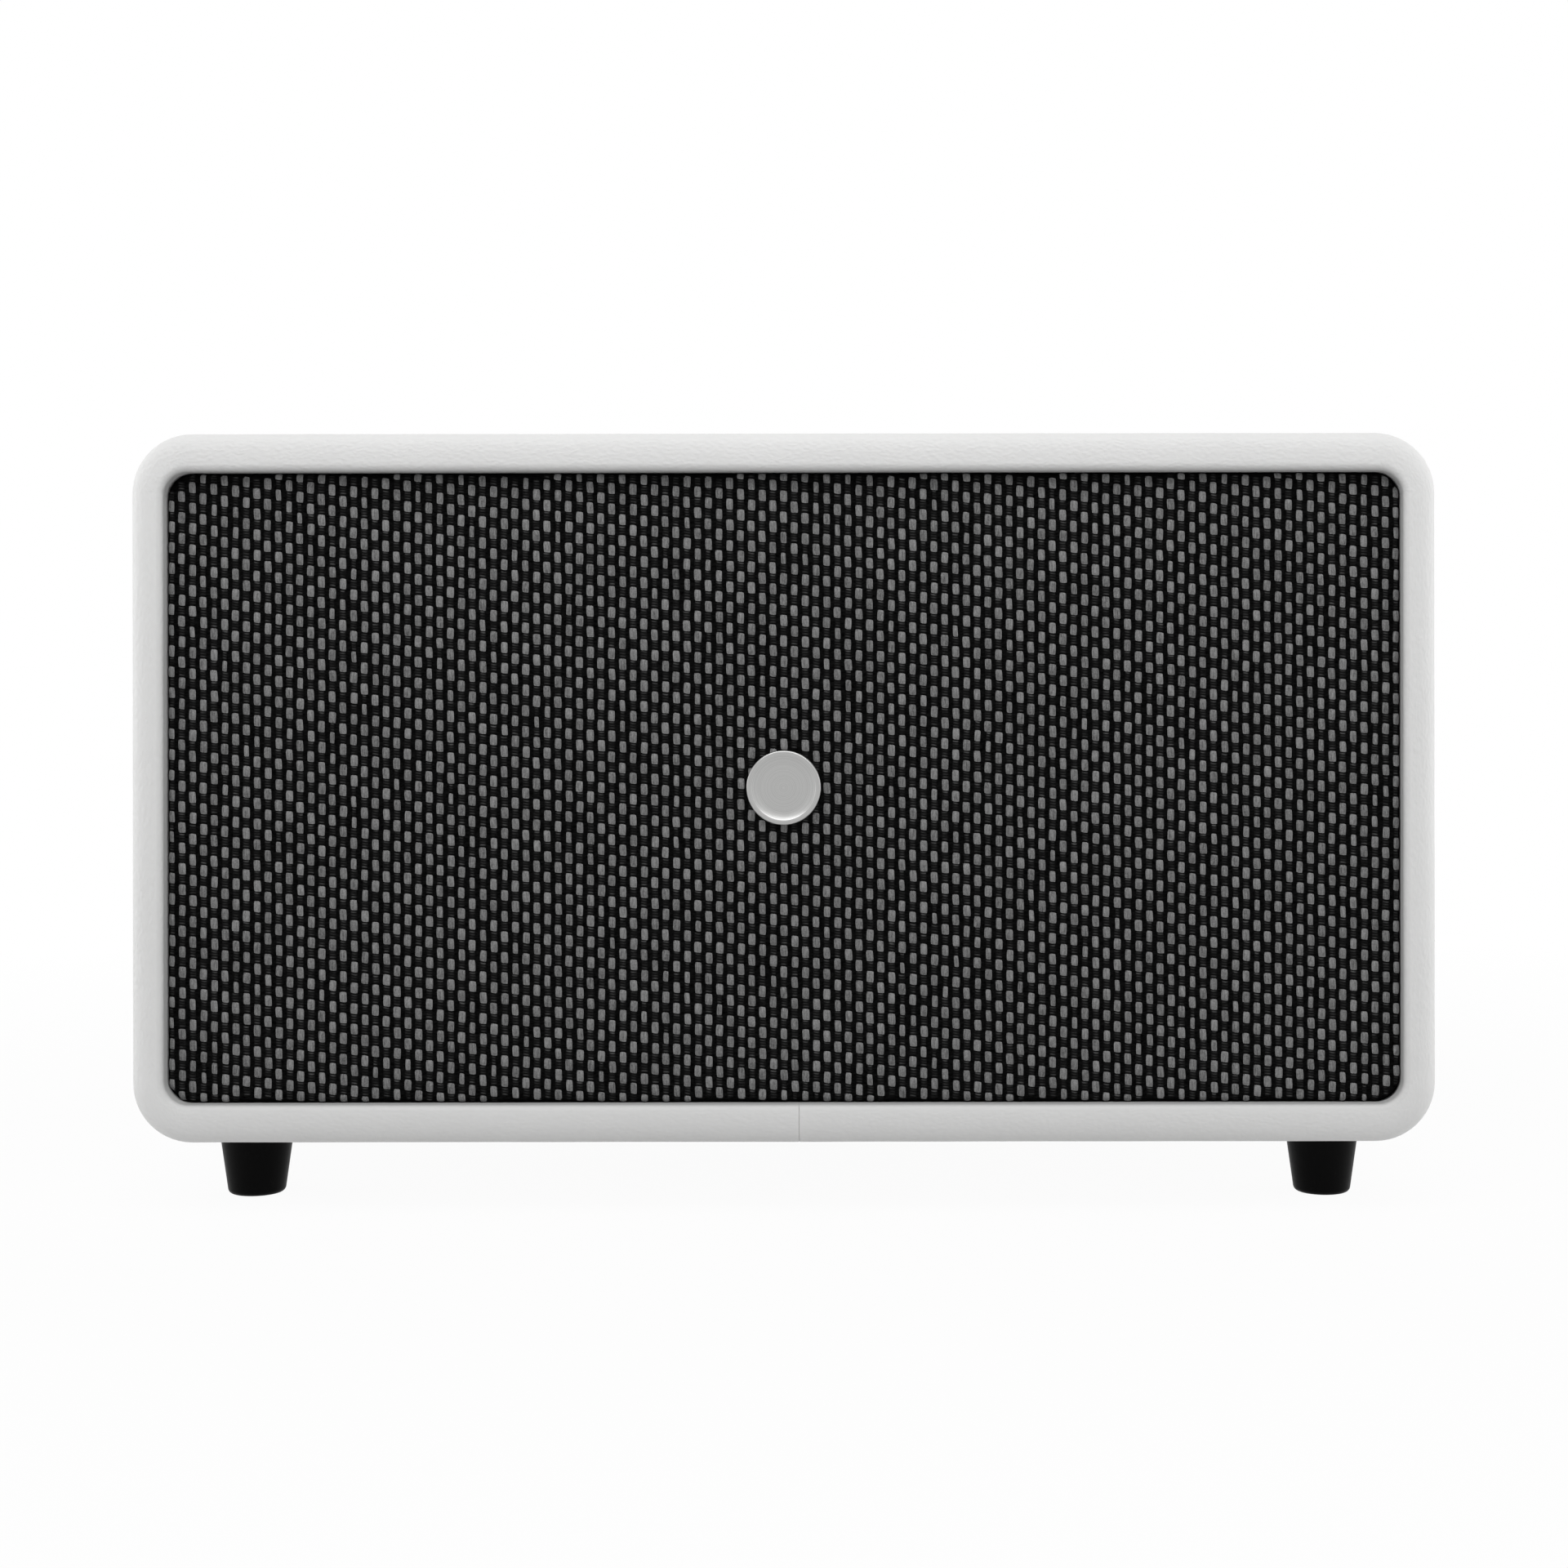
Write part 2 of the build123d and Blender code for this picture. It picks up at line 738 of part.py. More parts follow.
def rear_panel():
    """The moulded back, with holes for all that is fixed to it."""
    width, height = opening_width - 2 * rear_gap, opening_height - 2 * rear_gap
    panel = frontal(width, height, opening_radius - rear_gap, rear_inner_y, rear_face_y)
    panel -= panel_screw_holes()
    port_hole_d = port_bore_d + 2 * port_wall + 2 * part_clearance
    panel -= rod_y(port_x, middle_z, port_hole_d, rear_inner_y, rear_face_y)
    panel -= slab(inlet_outline(part_clearance), rear_inner_y, rear_face_y)
    panel -= rod_y(jack_x, input_z, jack_nose_d + 2 * part_clearance, rear_inner_y, rear_face_y)
    for x, z in plate_screw_places():
        panel -= rod_y(x, z, plate_screw_d, rear_inner_y, rear_face_y)
    for x, z in all_board_places():
        panel -= rod_y(x, z, board_screw_d, rear_inner_y, rear_inner_y + rear_panel_thickness / 2)
    return panel


def rear_panel_screws():
    return group(rear_screw(x, z, rear_face_y, cleat_screw_d, cleat_screw_head_d, cleat_screw_head,
                            cleat_screw_length) for x, z in cleat_screw_places())


def port_tube():
    """The bass port, with a flange on the panel and a flared mouth."""
    flange_back = rear_face_y + port_flange
    outer = rod_y(port_x, middle_z, port_bore_d + 2 * port_wall, flange_back - port_length, flange_back)
    outer += rod_y(port_x, middle_z, port_flange_d, rear_face_y, flange_back)
    tube = outer - rod_y(port_x, middle_z, port_bore_d, flange_back - port_length, flange_back)
    mouth = tube.faces().sort_by(Axis.Y)[-1].inner_wires()[0].edges()
    return fillet(mouth, port_mouth)


def input_plate():
    outline = RectangleRounded(input_plate_width, input_plate_height, input_plate_corner)
    shape = slab(Pos(input_x, input_z) * outline, rear_face_y, rear_face_y + input_plate_thickness)
    shape -= slab(inlet_outline(part_clearance), rear_face_y, rear_y)
    shape -= rod_y(jack_x, input_z, jack_nose_d + 2 * part_clearance, rear_face_y, rear_y)
    for x, z in plate_screw_places():
        shape -= rod_y(x, z, plate_screw_d + 2 * screw_clearance, rear_face_y, rear_y)
    return shape


def input_plate_screws():
    seat = rear_face_y + input_plate_thickness
    return group(rear_screw(x, z, seat, plate_screw_d, plate_screw_head_d, plate_screw_head,
                            plate_screw_length) for x, z in plate_screw_places())


def mains_inlet():
    """A two-pin appliance inlet: a figure-of-eight well with its pins."""
    face = rear_face_y + input_plate_thickness
    body = slab(inlet_outline(0), face - inlet_depth, face)
    lobes = [Pos(inlet_x + s * inlet_pin_pitch / 2, input_z) * Circle(inlet_lobe_d / 2) for s in (-1, 1)]
    waist = Pos(inlet_x, input_z) * Rectangle(inlet_pin_pitch, inlet_lobe_d * 0.8)
    body -= slab(lobes[0] + lobes[1] + waist, face - inlet_well_depth, face)
    for s in (-1, 1):
        root = face - inlet_well_depth
        body += rod_y(inlet_x + s * inlet_pin_pitch / 2, input_z, inlet_pin_d, root, root + inlet_pin_length)
    return body


def audio_jack():
    """A 3.5 mm jack standing on the amplifier board, with its nose through the panel."""
    face = rear_face_y + input_plate_thickness
    body = block(jack_x, input_z, jack_body, jack_body, board_back_y, rear_inner_y)
    body += rod_y(jack_x, input_z, jack_nose_d, rear_inner_y, face)
    return body - rod_y(jack_x, input_z, jack_bore_d, face - jack_bore_depth, face)


def circuit_board(x, z, width, height):
    shape = slab(Pos(x, z) * RectangleRounded(width, height, component_corner), board_y, board_back_y)
    for px, pz in board_places(x, z, width, height):
        shape -= rod_y(px, pz, board_screw_d + 2 * screw_clearance, board_y, board_back_y)
    return shape


def board_standoffs():
    """Pillars between the rear panel and the circuit boards."""
    bore = board_screw_d + 2 * screw_clearance
    pillars = []
    for x, z in all_board_places():
        pillar = rod_y(x, z, standoff_d, board_back_y, rear_inner_y)
        pillars.append(pillar - rod_y(x, z, bore, board_back_y, rear_inner_y))
    return group(pillars)


def board_screws():
    length = board + standoff + rear_panel_thickness / 2
    return group(front_screw(x, z, board_y, board_screw_d, board_screw_head_d, board_screw_head, length)
                 for x, z in all_board_places())


def heat_sink():
    """A finned block on the amplifier board."""
    x, z = amp_board_x + amp_board_width * 0.22, amp_board_z
    front = board_y - heat_sink_depth
    sink = slab(Pos(x, z) * Rectangle(heat_sink_width, heat_sink_height), board_y - heat_sink_base, board_y)
    pitch = (heat_sink_width - heat_sink_fin) / (heat_sink_fins - 1)
    for i in range(heat_sink_fins):
        fin = Pos(x - heat_sink_width / 2 + heat_sink_fin / 2 + i * pitch, z)
        sink += slab(fin * Rectangle(heat_sink_fin, heat_sink_height), front, board_y - heat_sink_base)
    return sink


def capacitors():
    """Reservoir capacitors: a pair on each board."""
    amp_pair = (amp_board_x - amp_board_width * 0.12, amp_board_z - amp_board_height * 0.25)
    supply_pair = (supply_board_x + supply_board_width * 0.22, supply_board_z + supply_board_height * 0.2)
    places = [(x + s * capacitor_d * 0.6, z) for x, z in (amp_pair, supply_pair) for s in (-1, 1)]
    cans = [rod_y(x, z, capacitor_d, board_y - capacitor_height, board_y) for x, z in places]
    return group(fillet(can.faces().sort_by(Axis.Y)[0].edges(), component_corner) for can in cans)


def transformer():
    x, z = supply_board_x - supply_board_width * 0.18, supply_board_z + supply_board_height * 0.1
    core = block(x, z, transformer_width, transformer_height, board_y - transformer_depth, board_y)
    bobbin = block(x, z, transformer_width * 0.7, transformer_height * 1.25,
                   board_y - transformer_depth * 0.8, board_y)
    return core + bobbin


def radio_module():
    x, z = amp_board_x - amp_board_width * 0.14, amp_board_z + amp_board_height * 0.3
    return block(x, z, radio_width, radio_height, board_y - radio_depth, board_y)


def connector_places():
    """Where each lead meets its board."""
    high = amp_board_z + amp_board_height / 2 - connector_height
    low = supply_board_z - supply_board_height / 2 + connector_height
    return {
        "left_speaker": (amp_board_x - amp_board_width * 0.36, high - 2.5 * connector_height),
        "right_speaker": (amp_board_x + amp_board_width * 0.36, high),
        "control": (amp_board_x + amp_board_width * 0.12, high),
        "mains": (supply_board_x, low),
    }


def board_connectors():
    return group(block(x, z, connector_width, connector_height, board_y - connector_depth, board_y)
                 for x, z in connector_places().values())


def lead(points):
    """A round lead along straight runs joined by arcs."""
    path = FilletPolyline(*points, radius=lead_bend)
    start = Plane(origin=points[0], z_dir=Vector(*points[1]) - Vector(*points[0]))
    return sweep(start * Circle(lead_d / 2), path=path)


def speaker_leads():
    """A lead from each driver's terminal to the amplifier board."""
    end_y = board_y - connector_depth
    start_y = driver_y + (seal_level + spider_level) / 2 + terminal
    shapes = []
    for side, x in driver_xs.items():
        towards_middle = 1 if side == "left" else -1
        start_x = x + towards_middle * (cutout_r - lead_d)
        ex, ez = connector_places()[f"{side}_speaker"]
        shapes.append(lead([
            (start_x, start_y, middle_z), (start_x, driver_y + yoke_back, middle_z),
            (ex, end_y - lead_run, ez), (ex, end_y, ez),
        ]))
    return group(shapes)


def board_leads():
    """The mains lead from the inlet, and the lead from the control board."""
    end_y = board_y - connector_depth
    mx, mz = connector_places()["mains"]
    inlet_back = rear_face_y + input_plate_thickness - inlet_depth
    turn_y = min(inlet_back, end_y) - lead_run / 2
    mains = lead([
        (inlet_x, inlet_back, input_z), (inlet_x, turn_y, input_z), (mx, turn_y, mz), (mx, end_y, mz),
    ])
    cx, cz = connector_places()["control"]
    drop_z = control_board_z - board
    control = lead([
        (cx, 0, drop_z), (cx, 0, drop_z - lead_run / 2), (cx, end_y - lead_run, cz), (cx, end_y, cz),
    ])
    return group([mains, control])


def damping_pads():
    """Wadding glued to the cabinet's side walls."""
    x = bore_width / 2 - pad_gap - pad_thickness / 2
    y_front = baffle_back_y + 2 * pad_thickness
    pad = Rectangle(pad_thickness, pad_height)
    return group(slab(Pos(s * x, middle_z) * pad, y_front, y_front + pad_depth) for s in (-1, 1))


def control_panel():
    """The top panel, seated on a ledge in the cabinet, with bosses that carry the control board."""
    shape = plate(control_outline(0), control_under_z, control_top_z)
    for x in (-boss_x, boss_x):
        for y in (-boss_y, boss_y):
            shape += rod_z(x, y, boss_d, control_board_z, control_under_z)
    for x in button_xs:
        shape -= rod_z(x, 0, button_d + 2 * button_clearance, control_under_z, control_top_z)
    shape -= rod_z(lens_x, 0, lens_d + 2 * lens_clearance, control_under_z, control_top_z)
    for x in (-mic_x, mic_x):
        shape -= rod_z(x, 0, mic_hole_d, control_under_z, control_top_z)
    return shape


def button(x):
    """A push button: cap, retaining flange under the panel, and stem into its switch."""
    cap = rod_z(x, 0, button_d, control_under_z, control_top_z + button_proud)
    cap = fillet(cap.faces().sort_by(Axis.Z)[-1].edges(), button_edge)
    cap += rod_z(x, 0, button_flange_d, control_under_z - button_flange, control_under_z)
    return cap + rod_z(x, 0, button_stem_d, switch_top_z - stem_engagement, control_under_z - button_flange)


def control_board():
    length = control_length - 2 * control_ledge - 2 * control_board_clearance
    width = control_width - 2 * control_ledge - 2 * control_board_clearance
    return plate(RectangleRounded(length, width, component_corner), control_board_z - board, control_board_z)


def button_switches():
    """Tact-switch housings, each with a well for its button's stem."""
    well_d = button_stem_d + 2 * stem_clearance
    well_floor = switch_top_z - stem_engagement - button_travel - stem_clearance
    return group(plate(Pos(x, 0) * Rectangle(switch_width, switch_width), control_board_z, switch_top_z)
                 - rod_z(x, 0, well_d, well_floor, switch_top_z) for x in button_xs)


def status_lens():
    return rod_z(lens_x, 0, lens_d, control_board_z, control_top_z)


def build():
    """Every node's shape by name."""
    shell = cabinet_shell()
    skin = leather_wrap(shell)
    cuts = [control_cutout(), *foot_screw_holes()]
    nodes = {
        "cabinet_shell": shell - cuts,
        "leather_wrap": skin - cuts,
        "front_baffle": front_baffle(),
        "grille_frame": grille_frame(),
        "grille_cloth": grille_cloth(),
        "grille_cups": grille_cups(),
        "badge": badge(),
        **feet(),
        "foot_screws": foot_screws(),
    }
    for side in driver_xs:
        nodes.update(driver(side))
    nodes.update(driver_pairs())
    nodes.update({
        "driver_screws": driver_screws(),
        "rear_cleats": rear_cleats(),
        "rear_gasket": rear_gasket_ring(),
        "rear_panel": rear_panel(),
        "rear_panel_screws": rear_panel_screws(),
        "port_tube": port_tube(),
        "input_plate": input_plate(),
        "input_plate_screws": input_plate_screws(),
        "mains_inlet": mains_inlet(),
        "audio_jack": audio_jack(),
        "amplifier_board": circuit_board(*amp_board_place),
        "supply_board": circuit_board(*supply_board_place),
        "board_standoffs": board_standoffs(),
        "board_screws": board_screws(),
        "heat_sink": heat_sink(),
        "capacitors": capacitors(),
        "transformer": transformer(),
        "radio_module": radio_module(),
        "board_connectors": board_connectors(),
        "speaker_leads": speaker_leads(),
        "board_leads": board_leads(),
        "damping_pads": damping_pads(),
        "control_panel": control_panel(),
        **{name: button(x) for name, x in zip(button_names, button_xs)},
        "control_board": control_board(),
        "button_switches": button_switches(),
        "status_lens": status_lens(),
    })
    return nodes


os.makedirs("parts", exist_ok=True)
for node, shape in build().items():
    export_step(shape, f"parts/{node}.step")
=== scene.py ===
import bpy
import bmesh
import math
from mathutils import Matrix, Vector, noise


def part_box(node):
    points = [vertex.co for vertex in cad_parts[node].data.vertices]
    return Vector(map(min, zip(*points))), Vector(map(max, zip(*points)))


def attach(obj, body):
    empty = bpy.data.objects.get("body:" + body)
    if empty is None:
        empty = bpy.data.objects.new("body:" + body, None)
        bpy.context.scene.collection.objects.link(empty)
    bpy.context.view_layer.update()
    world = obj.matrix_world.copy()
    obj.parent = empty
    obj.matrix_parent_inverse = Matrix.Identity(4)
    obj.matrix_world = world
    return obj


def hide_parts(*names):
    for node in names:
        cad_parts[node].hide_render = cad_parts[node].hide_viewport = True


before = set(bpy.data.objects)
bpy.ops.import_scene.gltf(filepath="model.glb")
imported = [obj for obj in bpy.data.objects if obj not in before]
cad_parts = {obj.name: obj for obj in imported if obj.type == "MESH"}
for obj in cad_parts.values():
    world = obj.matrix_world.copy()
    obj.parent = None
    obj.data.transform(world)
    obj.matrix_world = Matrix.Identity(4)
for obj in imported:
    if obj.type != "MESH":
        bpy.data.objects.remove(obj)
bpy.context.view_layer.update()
print("stage: frame loaded,", len(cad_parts), "nodes")

mm = 0.001


class Wire:
    # a socket that takes part in sums, and makes any other node
    def __init__(self, tree, socket=None):
        self.tree = tree
        self.socket = socket

    def make(self, kind, settings=None, sockets=None, output=0):
        node = self.tree.nodes.new(kind)
        for name, value in (settings or {}).items():
            setattr(node, name, value)
        for key, value in (sockets or {}).items():
            if isinstance(value, Wire):
                self.tree.links.new(value.socket, node.inputs[key])
            else:
                node.inputs[key].default_value = value
        return Wire(self.tree, node.outputs[output])

    def maths(self, operation, *values):
        return self.make("ShaderNodeMath", {"operation": operation}, dict(enumerate(values)))

    def __add__(self, other):
        return self.maths("ADD", self, other)

    def __radd__(self, other):
        return self.maths("ADD", other, self)

    def __sub__(self, other):
        return self.maths("SUBTRACT", self, other)

    def __rsub__(self, other):
        return self.maths("SUBTRACT", other, self)

    def __mul__(self, other):
        return self.maths("MULTIPLY", self, other)

    def __rmul__(self, other):
        return self.maths("MULTIPLY", other, self)

    def __truediv__(self, other):
        return self.maths("DIVIDE", self, other)

    def __rtruediv__(self, other):
        return self.maths("DIVIDE", other, self)

    def __pow__(self, other):
        return self.maths("POWER", self, other)

    def __neg__(self):
        return self.maths("MULTIPLY", self, -1.0)

    def __lt__(self, other):
        return self.maths("LESS_THAN", self, other)

    def __gt__(self, other):
        return self.maths("GREATER_THAN", self, other)

    def abs(self):
        return self.maths("ABSOLUTE", self)

    def sine(self):
        return self.maths("SINE", self)

    def cosine(self):
        return self.maths("COSINE", self)

    def sign(self):
        return self.maths("SIGN", self)

    def least(self, other):
        return self.maths("MINIMUM", self, other)

    def most(self, other):
        return self.maths("MAXIMUM", self, other)


def startFinish(name, colour, rough, **constants):
    finish = bpy.data.materials.new(name)
    finish.use_nodes = True
    tree = finish.node_tree
    shader = tree.nodes["Principled BSDF"]
    shader.inputs["Base Color"].default_value = (*colour, 1)
    shader.inputs["Roughness"].default_value = rough
    for key, value in constants.items():
        shader.inputs[key.replace("_", " ")].default_value = value
    return finish, Wire(tree), shader


def feed(shader, socket, wire):
    wire.tree.links.new(wire.socket, shader.inputs[socket])


def objectPlace(start):
    return start.make("ShaderNodeTexCoord", output="Object")


def attribute(start, name):
    return start.make("ShaderNodeAttribute", {"attribute_name": name}, output="Fac")


def stretched(place, scale):
    return place.make("ShaderNodeMapping", {}, {"Vector": place, "Scale": scale})


def noiseOn(place, scale=1.0, detail=2.0, rough=0.5):
    return place.make("ShaderNodeTexNoise", {},
                      {"Vector": place, "Scale": scale, "Detail": detail, "Roughness": rough})


def cellsOn(place, scale=1.0, feature="SMOOTH_F1", random=1.0):
    return place.make("ShaderNodeTexVoronoi", {"feature": feature},
                      {"Vector": place, "Scale": scale, "Randomness": random})


def between(wire, low, high):
    return wire.make("ShaderNodeMapRange", {}, {"Value": wire, "To Min": low, "To Max": high})


def tinted(wire, dark, pale):
    # a Mix node keeps its colours in sockets 6 and 7, and gives one in output 2
    first, second = (c if isinstance(c, Wire) else (*c, 1) for c in (dark, pale))
    return wire.make("ShaderNodeMix", {"data_type": "RGBA"}, {0: wire, 6: first, 7: second}, 2)


def shade(colour, factor):
    return tuple(min(1.0, c * factor) for c in colour)


def toned(wire, colour, low, high):
    # from a darker to a paler shade of one colour
    return tinted(wire, shade(colour, low), shade(colour, high))


def bumpFrom(shader, height, strength, depth):
    sockets = {"Height": height, "Strength": strength, "Distance": depth}
    feed(shader, "Normal", height.make("ShaderNodeBump", {}, sockets))


# Finishes
leatherLook = {
    "colour": (0.80, 0.80, 0.795), "rough": 0.5, "roughRange": (-0.07, 0.08),
    "grain": (680.0, 1450.0, 1.0), "folds": (612.0, 1305.0, 0.9), "openGrain": (600.0, 640.0, 1.0),
    "pores": 2600.0, "blotches": 22.0, "swayScale": 260.0, "sway": 0.0016,
    "foldHeight": 0.55, "pebbleHeight": 0.8, "poreHeight": 0.05, "cellHeight": 2.2,
    "drawnLoss": 0.55, "slackLoss": 0.5, "bump": 0.34, "grainDepth": 0.00045,
    "toneRange": (0.3, 0.95), "pebbleTone": 0.2, "cellTone": 0.9, "hollowShade": 0.9, "paintedShadeTone": 0.6,
}


def leatherFinish():
    look = leatherLook
    finish, start, shader = startFinish("whiteLeather", look["colour"], look["rough"])
    place = objectPlace(start)
    along, across = attribute(start, "skinAlong"), attribute(start, "skinAcross")
    sway = (noiseOn(place, look["swayScale"]) - 0.5) * look["sway"]
    skin = start.make("ShaderNodeCombineXYZ", {}, {0: along, 1: across + sway, 2: 0.0})
    pebbles = cellsOn(stretched(skin, look["grain"]))
    folds = noiseOn(stretched(skin, look["folds"]))
    pores = noiseOn(place, look["pores"])
    slack = attribute(start, "slack")   # drawn tight over the rims, the grain opens out on the broad faces
    cells = cellsOn(stretched(skin, look["openGrain"])) * slack
    drawn = attribute(start, "drawn")   # pulled smoothest along the bottom, where it is joined
    rimGrain = folds * look["foldHeight"] - pebbles * look["pebbleHeight"] + pores * look["poreHeight"]
    rimGrain = rimGrain * (1.0 - drawn * look["drawnLoss"])
    height = rimGrain * (1.0 - slack * look["slackLoss"]) - cells * look["cellHeight"]
    tone = between(noiseOn(place, look["blotches"], detail=4.0, rough=0.6), *look["toneRange"])
    mixTone = tone - pebbles * look["pebbleTone"] - cells * look["cellTone"]
    face = toned(mixTone, look["colour"], look["hollowShade"], 1.0)
    # painted shade: the turned-in band next to the cloth is darkened in colour, standing in for the shade
    # that falls there
    edge = shade(look["colour"], look["paintedShadeTone"])
    feed(shader, "Base Color", tinted(attribute(start, "turnInPaintedShade"), face, edge))
    feed(shader, "Roughness", between(folds, *(look["rough"] + r for r in look["roughRange"])))
    bumpFrom(shader, height, look["bump"], look["grainDepth"])
    return finish


groundLook = {
    "colour": (0.0042, 0.0042, 0.0042), "rough": 0.95, "specular": 0.0, "threads": (900.0, 900.0, 3200.0),
    "toneRange": (-0.6, 1.6), "shades": (0.2, 1.9), "bump": 0.5, "depth": 0.0002,
}


def backClothFinish():
    look = groundLook
    finish, start, shader = startFinish("clothBlack", look["colour"], look["rough"],
                                        Specular_IOR_Level=look["specular"])
    threads = noiseOn(stretched(objectPlace(start), look["threads"]))
    feed(shader, "Base Color", toned(between(threads, *look["toneRange"]), look["colour"], *look["shades"]))
    bumpFrom(shader, threads, look["bump"], look["depth"])
    return finish


greyYarnLook = {
    "colour": (0.195, 0.195, 0.195), "rough": 0.85, "specular": 0.05,
    "fibres": (2700.0, 1500.0, 420.0), "flecks": 2300.0,
    "fibreTone": 1.6, "fleckTone": 1.0, "middle": 0.43, "floatTone": 0.28, "paintedEndHighlight": 0.14, "endHighlightPower": 5.0,
    "shades": (0.45, 1.65), "bump": 0.6, "depth": 0.00012,
}


def greyFloatFinish():
    look = greyYarnLook
    finish, start, shader = startFinish("clothGreyYarn", look["colour"], look["rough"],
                                        Specular_IOR_Level=look["specular"])
    place = objectPlace(start)
    fibres = noiseOn(stretched(place, look["fibres"]), detail=3.0, rough=0.65)
    flecks = noiseOn(place, look["flecks"], rough=0.6)
    tone = attribute(start, "yarnTone")
    # painted highlight: both ends of each float are made paler, standing in for light on the arched ends
    ends = attribute(start, "yarnAlong").abs() ** look["endHighlightPower"]
    mixTone = (fibres - 0.5) * look["fibreTone"] + (flecks - 0.5) * look["fleckTone"] + look["middle"]
    mixTone = mixTone + (tone - 0.5) * look["floatTone"] + ends * look["paintedEndHighlight"]
    feed(shader, "Base Color", toned(mixTone, look["colour"], *look["shades"]))
    bumpFrom(shader, fibres, look["bump"], look["depth"])
    return finish


darkYarnLook = {
    "colour": (0.0055, 0.0055, 0.0055), "weft": (0.10, 0.10, 0.10), "rough": 0.9, "specular": 0.02,
    "fibres": (900.0, 1500.0, 3600.0), "toneRange": (-0.5, 1.5), "shades": (0.25, 1.9),
    "patches": 430.0, "patchRange": (-0.7, 2.5), "bow": 0.2, "cordWide": 0.2,
    "upperCord": 0.6, "upperLeast": 0.1, "middleCord": 0.08, "middleStrength": 0.3,
    "lowerCord": -0.46, "lowerMost": 0.85, "lowerFall": 0.75,
    "fuzz": 0.9, "fuzzLeast": 0.5, "bump": 0.6, "depth": 0.0002,
}


def darkFloatFinish():
    # the yarn dives here: the black weft shows as fine cords across each end
    look = darkYarnLook
    finish, start, shader = startFinish("clothDarkYarn", look["colour"], look["rough"],
                                        Specular_IOR_Level=look["specular"])
    along, across, tone = (attribute(start, name) for name in ("yarnAlong", "yarnAcross", "yarnTone"))
    place = objectPlace(start)
    fibres = noiseOn(stretched(place, look["fibres"]))
    sideways = across * across
    bent = along * (1.0 - sideways * look["bow"])   # the cords bow away from the middle of the dive

    def cord(at, strength):
        return (1.0 - (bent - at).abs() / look["cordWide"]).most(0.0) * strength

    upper = cord(look["upperCord"], tone + look["upperLeast"])
    middle = cord(look["middleCord"], look["middleStrength"])
    lower = cord(look["lowerCord"], look["lowerMost"] - tone * look["lowerFall"])
    cords = upper + middle + lower
    ground = toned(between(fibres, *look["toneRange"]), look["colour"], *look["shades"])
    patchy = between(noiseOn(place, look["patches"], detail=1.0), *look["patchRange"])
    lit = cords * (fibres * look["fuzz"] + look["fuzzLeast"]) * (1.0 - sideways) * patchy
    feed(shader, "Base Color", tinted(lit, ground, look["weft"]))
    bumpFrom(shader, cords, look["bump"], look["depth"])
    return finish


def mouldedFinish(name, colour, rough, grain=1500.0, depth=0.00006, spread=0.25, specular=0.5):
    finish, start, shader = startFinish(name, colour, rough, Specular_IOR_Level=specular)
    place = objectPlace(start)
    skin = noiseOn(place, grain)
    tone = noiseOn(place, scale=45.0, detail=3.0)
    feed(shader, "Base Color", toned(tone, colour, 1 - spread, 1 + spread))
    feed(shader, "Roughness", between(skin, rough - 0.06, rough + 0.08))
    bumpFrom(shader, skin, strength=0.4, depth=depth)
    return finish


def pebbledFinish(name, colour, rough, cell, depth):
    finish, start, shader = startFinish(name, colour, rough, Specular_IOR_Level=0.35)
    place = objectPlace(start)
    cells = cellsOn(place, cell)
    tone = noiseOn(place, scale=28.0, detail=4.0, rough=0.6)
    mixTone = between(tone, low=-0.1, high=1.1) - cells * 0.5
    feed(shader, "Base Color", toned(mixTone, colour, low=0.55, high=1.35))
    feed(shader, "Roughness", between(cells, rough - 0.1, rough + 0.12))
    bumpFrom(shader, -cells, strength=0.7, depth=depth)
    return finish


def spunMetalFinish(name, colour, rough, centre):
    # fine rings turned about a centre in the front plane
    finish, start, shader = startFinish(name, colour, rough, Metallic=1.0)
    place = objectPlace(start)
    moved = start.make("ShaderNodeVectorMath", {"operation": "SUBTRACT"}, {0: place, 1: centre})
    flat = start.make("ShaderNodeVectorMath", {"operation": "MULTIPLY"}, {0: moved, 1: (1.0, 0.0, 1.0)})
    away = start.make("ShaderNodeVectorMath", {"operation": "LENGTH"}, {0: flat}, "Value")
    rings = start.make("ShaderNodeTexNoise", {"noise_dimensions": "1D"},
                       {"W": away, "Scale": 5200.0, "Detail": 3.0, "Roughness": 0.7})
    smudge = noiseOn(place, scale=160.0, detail=3.0)
    feed(shader, "Base Color", toned(between(rings, low=-0.3, high=1.3), colour, low=0.72, high=1.12))
    feed(shader, "Roughness", between(smudge, rough - 0.06, rough + 0.1))
    bumpFrom(shader, rings, strength=0.5, depth=0.00003)
    return finish


def turnedMetalFinish(name, colour, rough, lineScale):
    finish, start, shader = startFinish(name, colour, rough, Metallic=1.0)
    place = objectPlace(start)
    lines = noiseOn(stretched(place, lineScale), detail=3.0, rough=0.6)
    tone = noiseOn(place, scale=60.0)
    feed(shader, "Base Color", toned(tone, colour, low=0.9, high=1.08))
    feed(shader, "Roughness", between(lines, rough - 0.08, rough + 0.1))
    bumpFrom(shader, lines, strength=0.35, depth=0.00002)
    return finish


def fibreFinish(name, colour, rough, scale, spread=0.3, depth=0.0002):
    finish, start, shader = startFinish(name, colour, rough)
    strands = noiseOn(stretched(objectPlace(start), scale), detail=5.0, rough=0.7)
    feed(shader, "Base Color", toned(strands, colour, 1 - spread, 1 + spread))
    feed(shader, "Roughness", between(strands, rough - 0.08, rough + 0.05))
    bumpFrom(shader, strands, strength=0.5, depth=depth)
    return finish


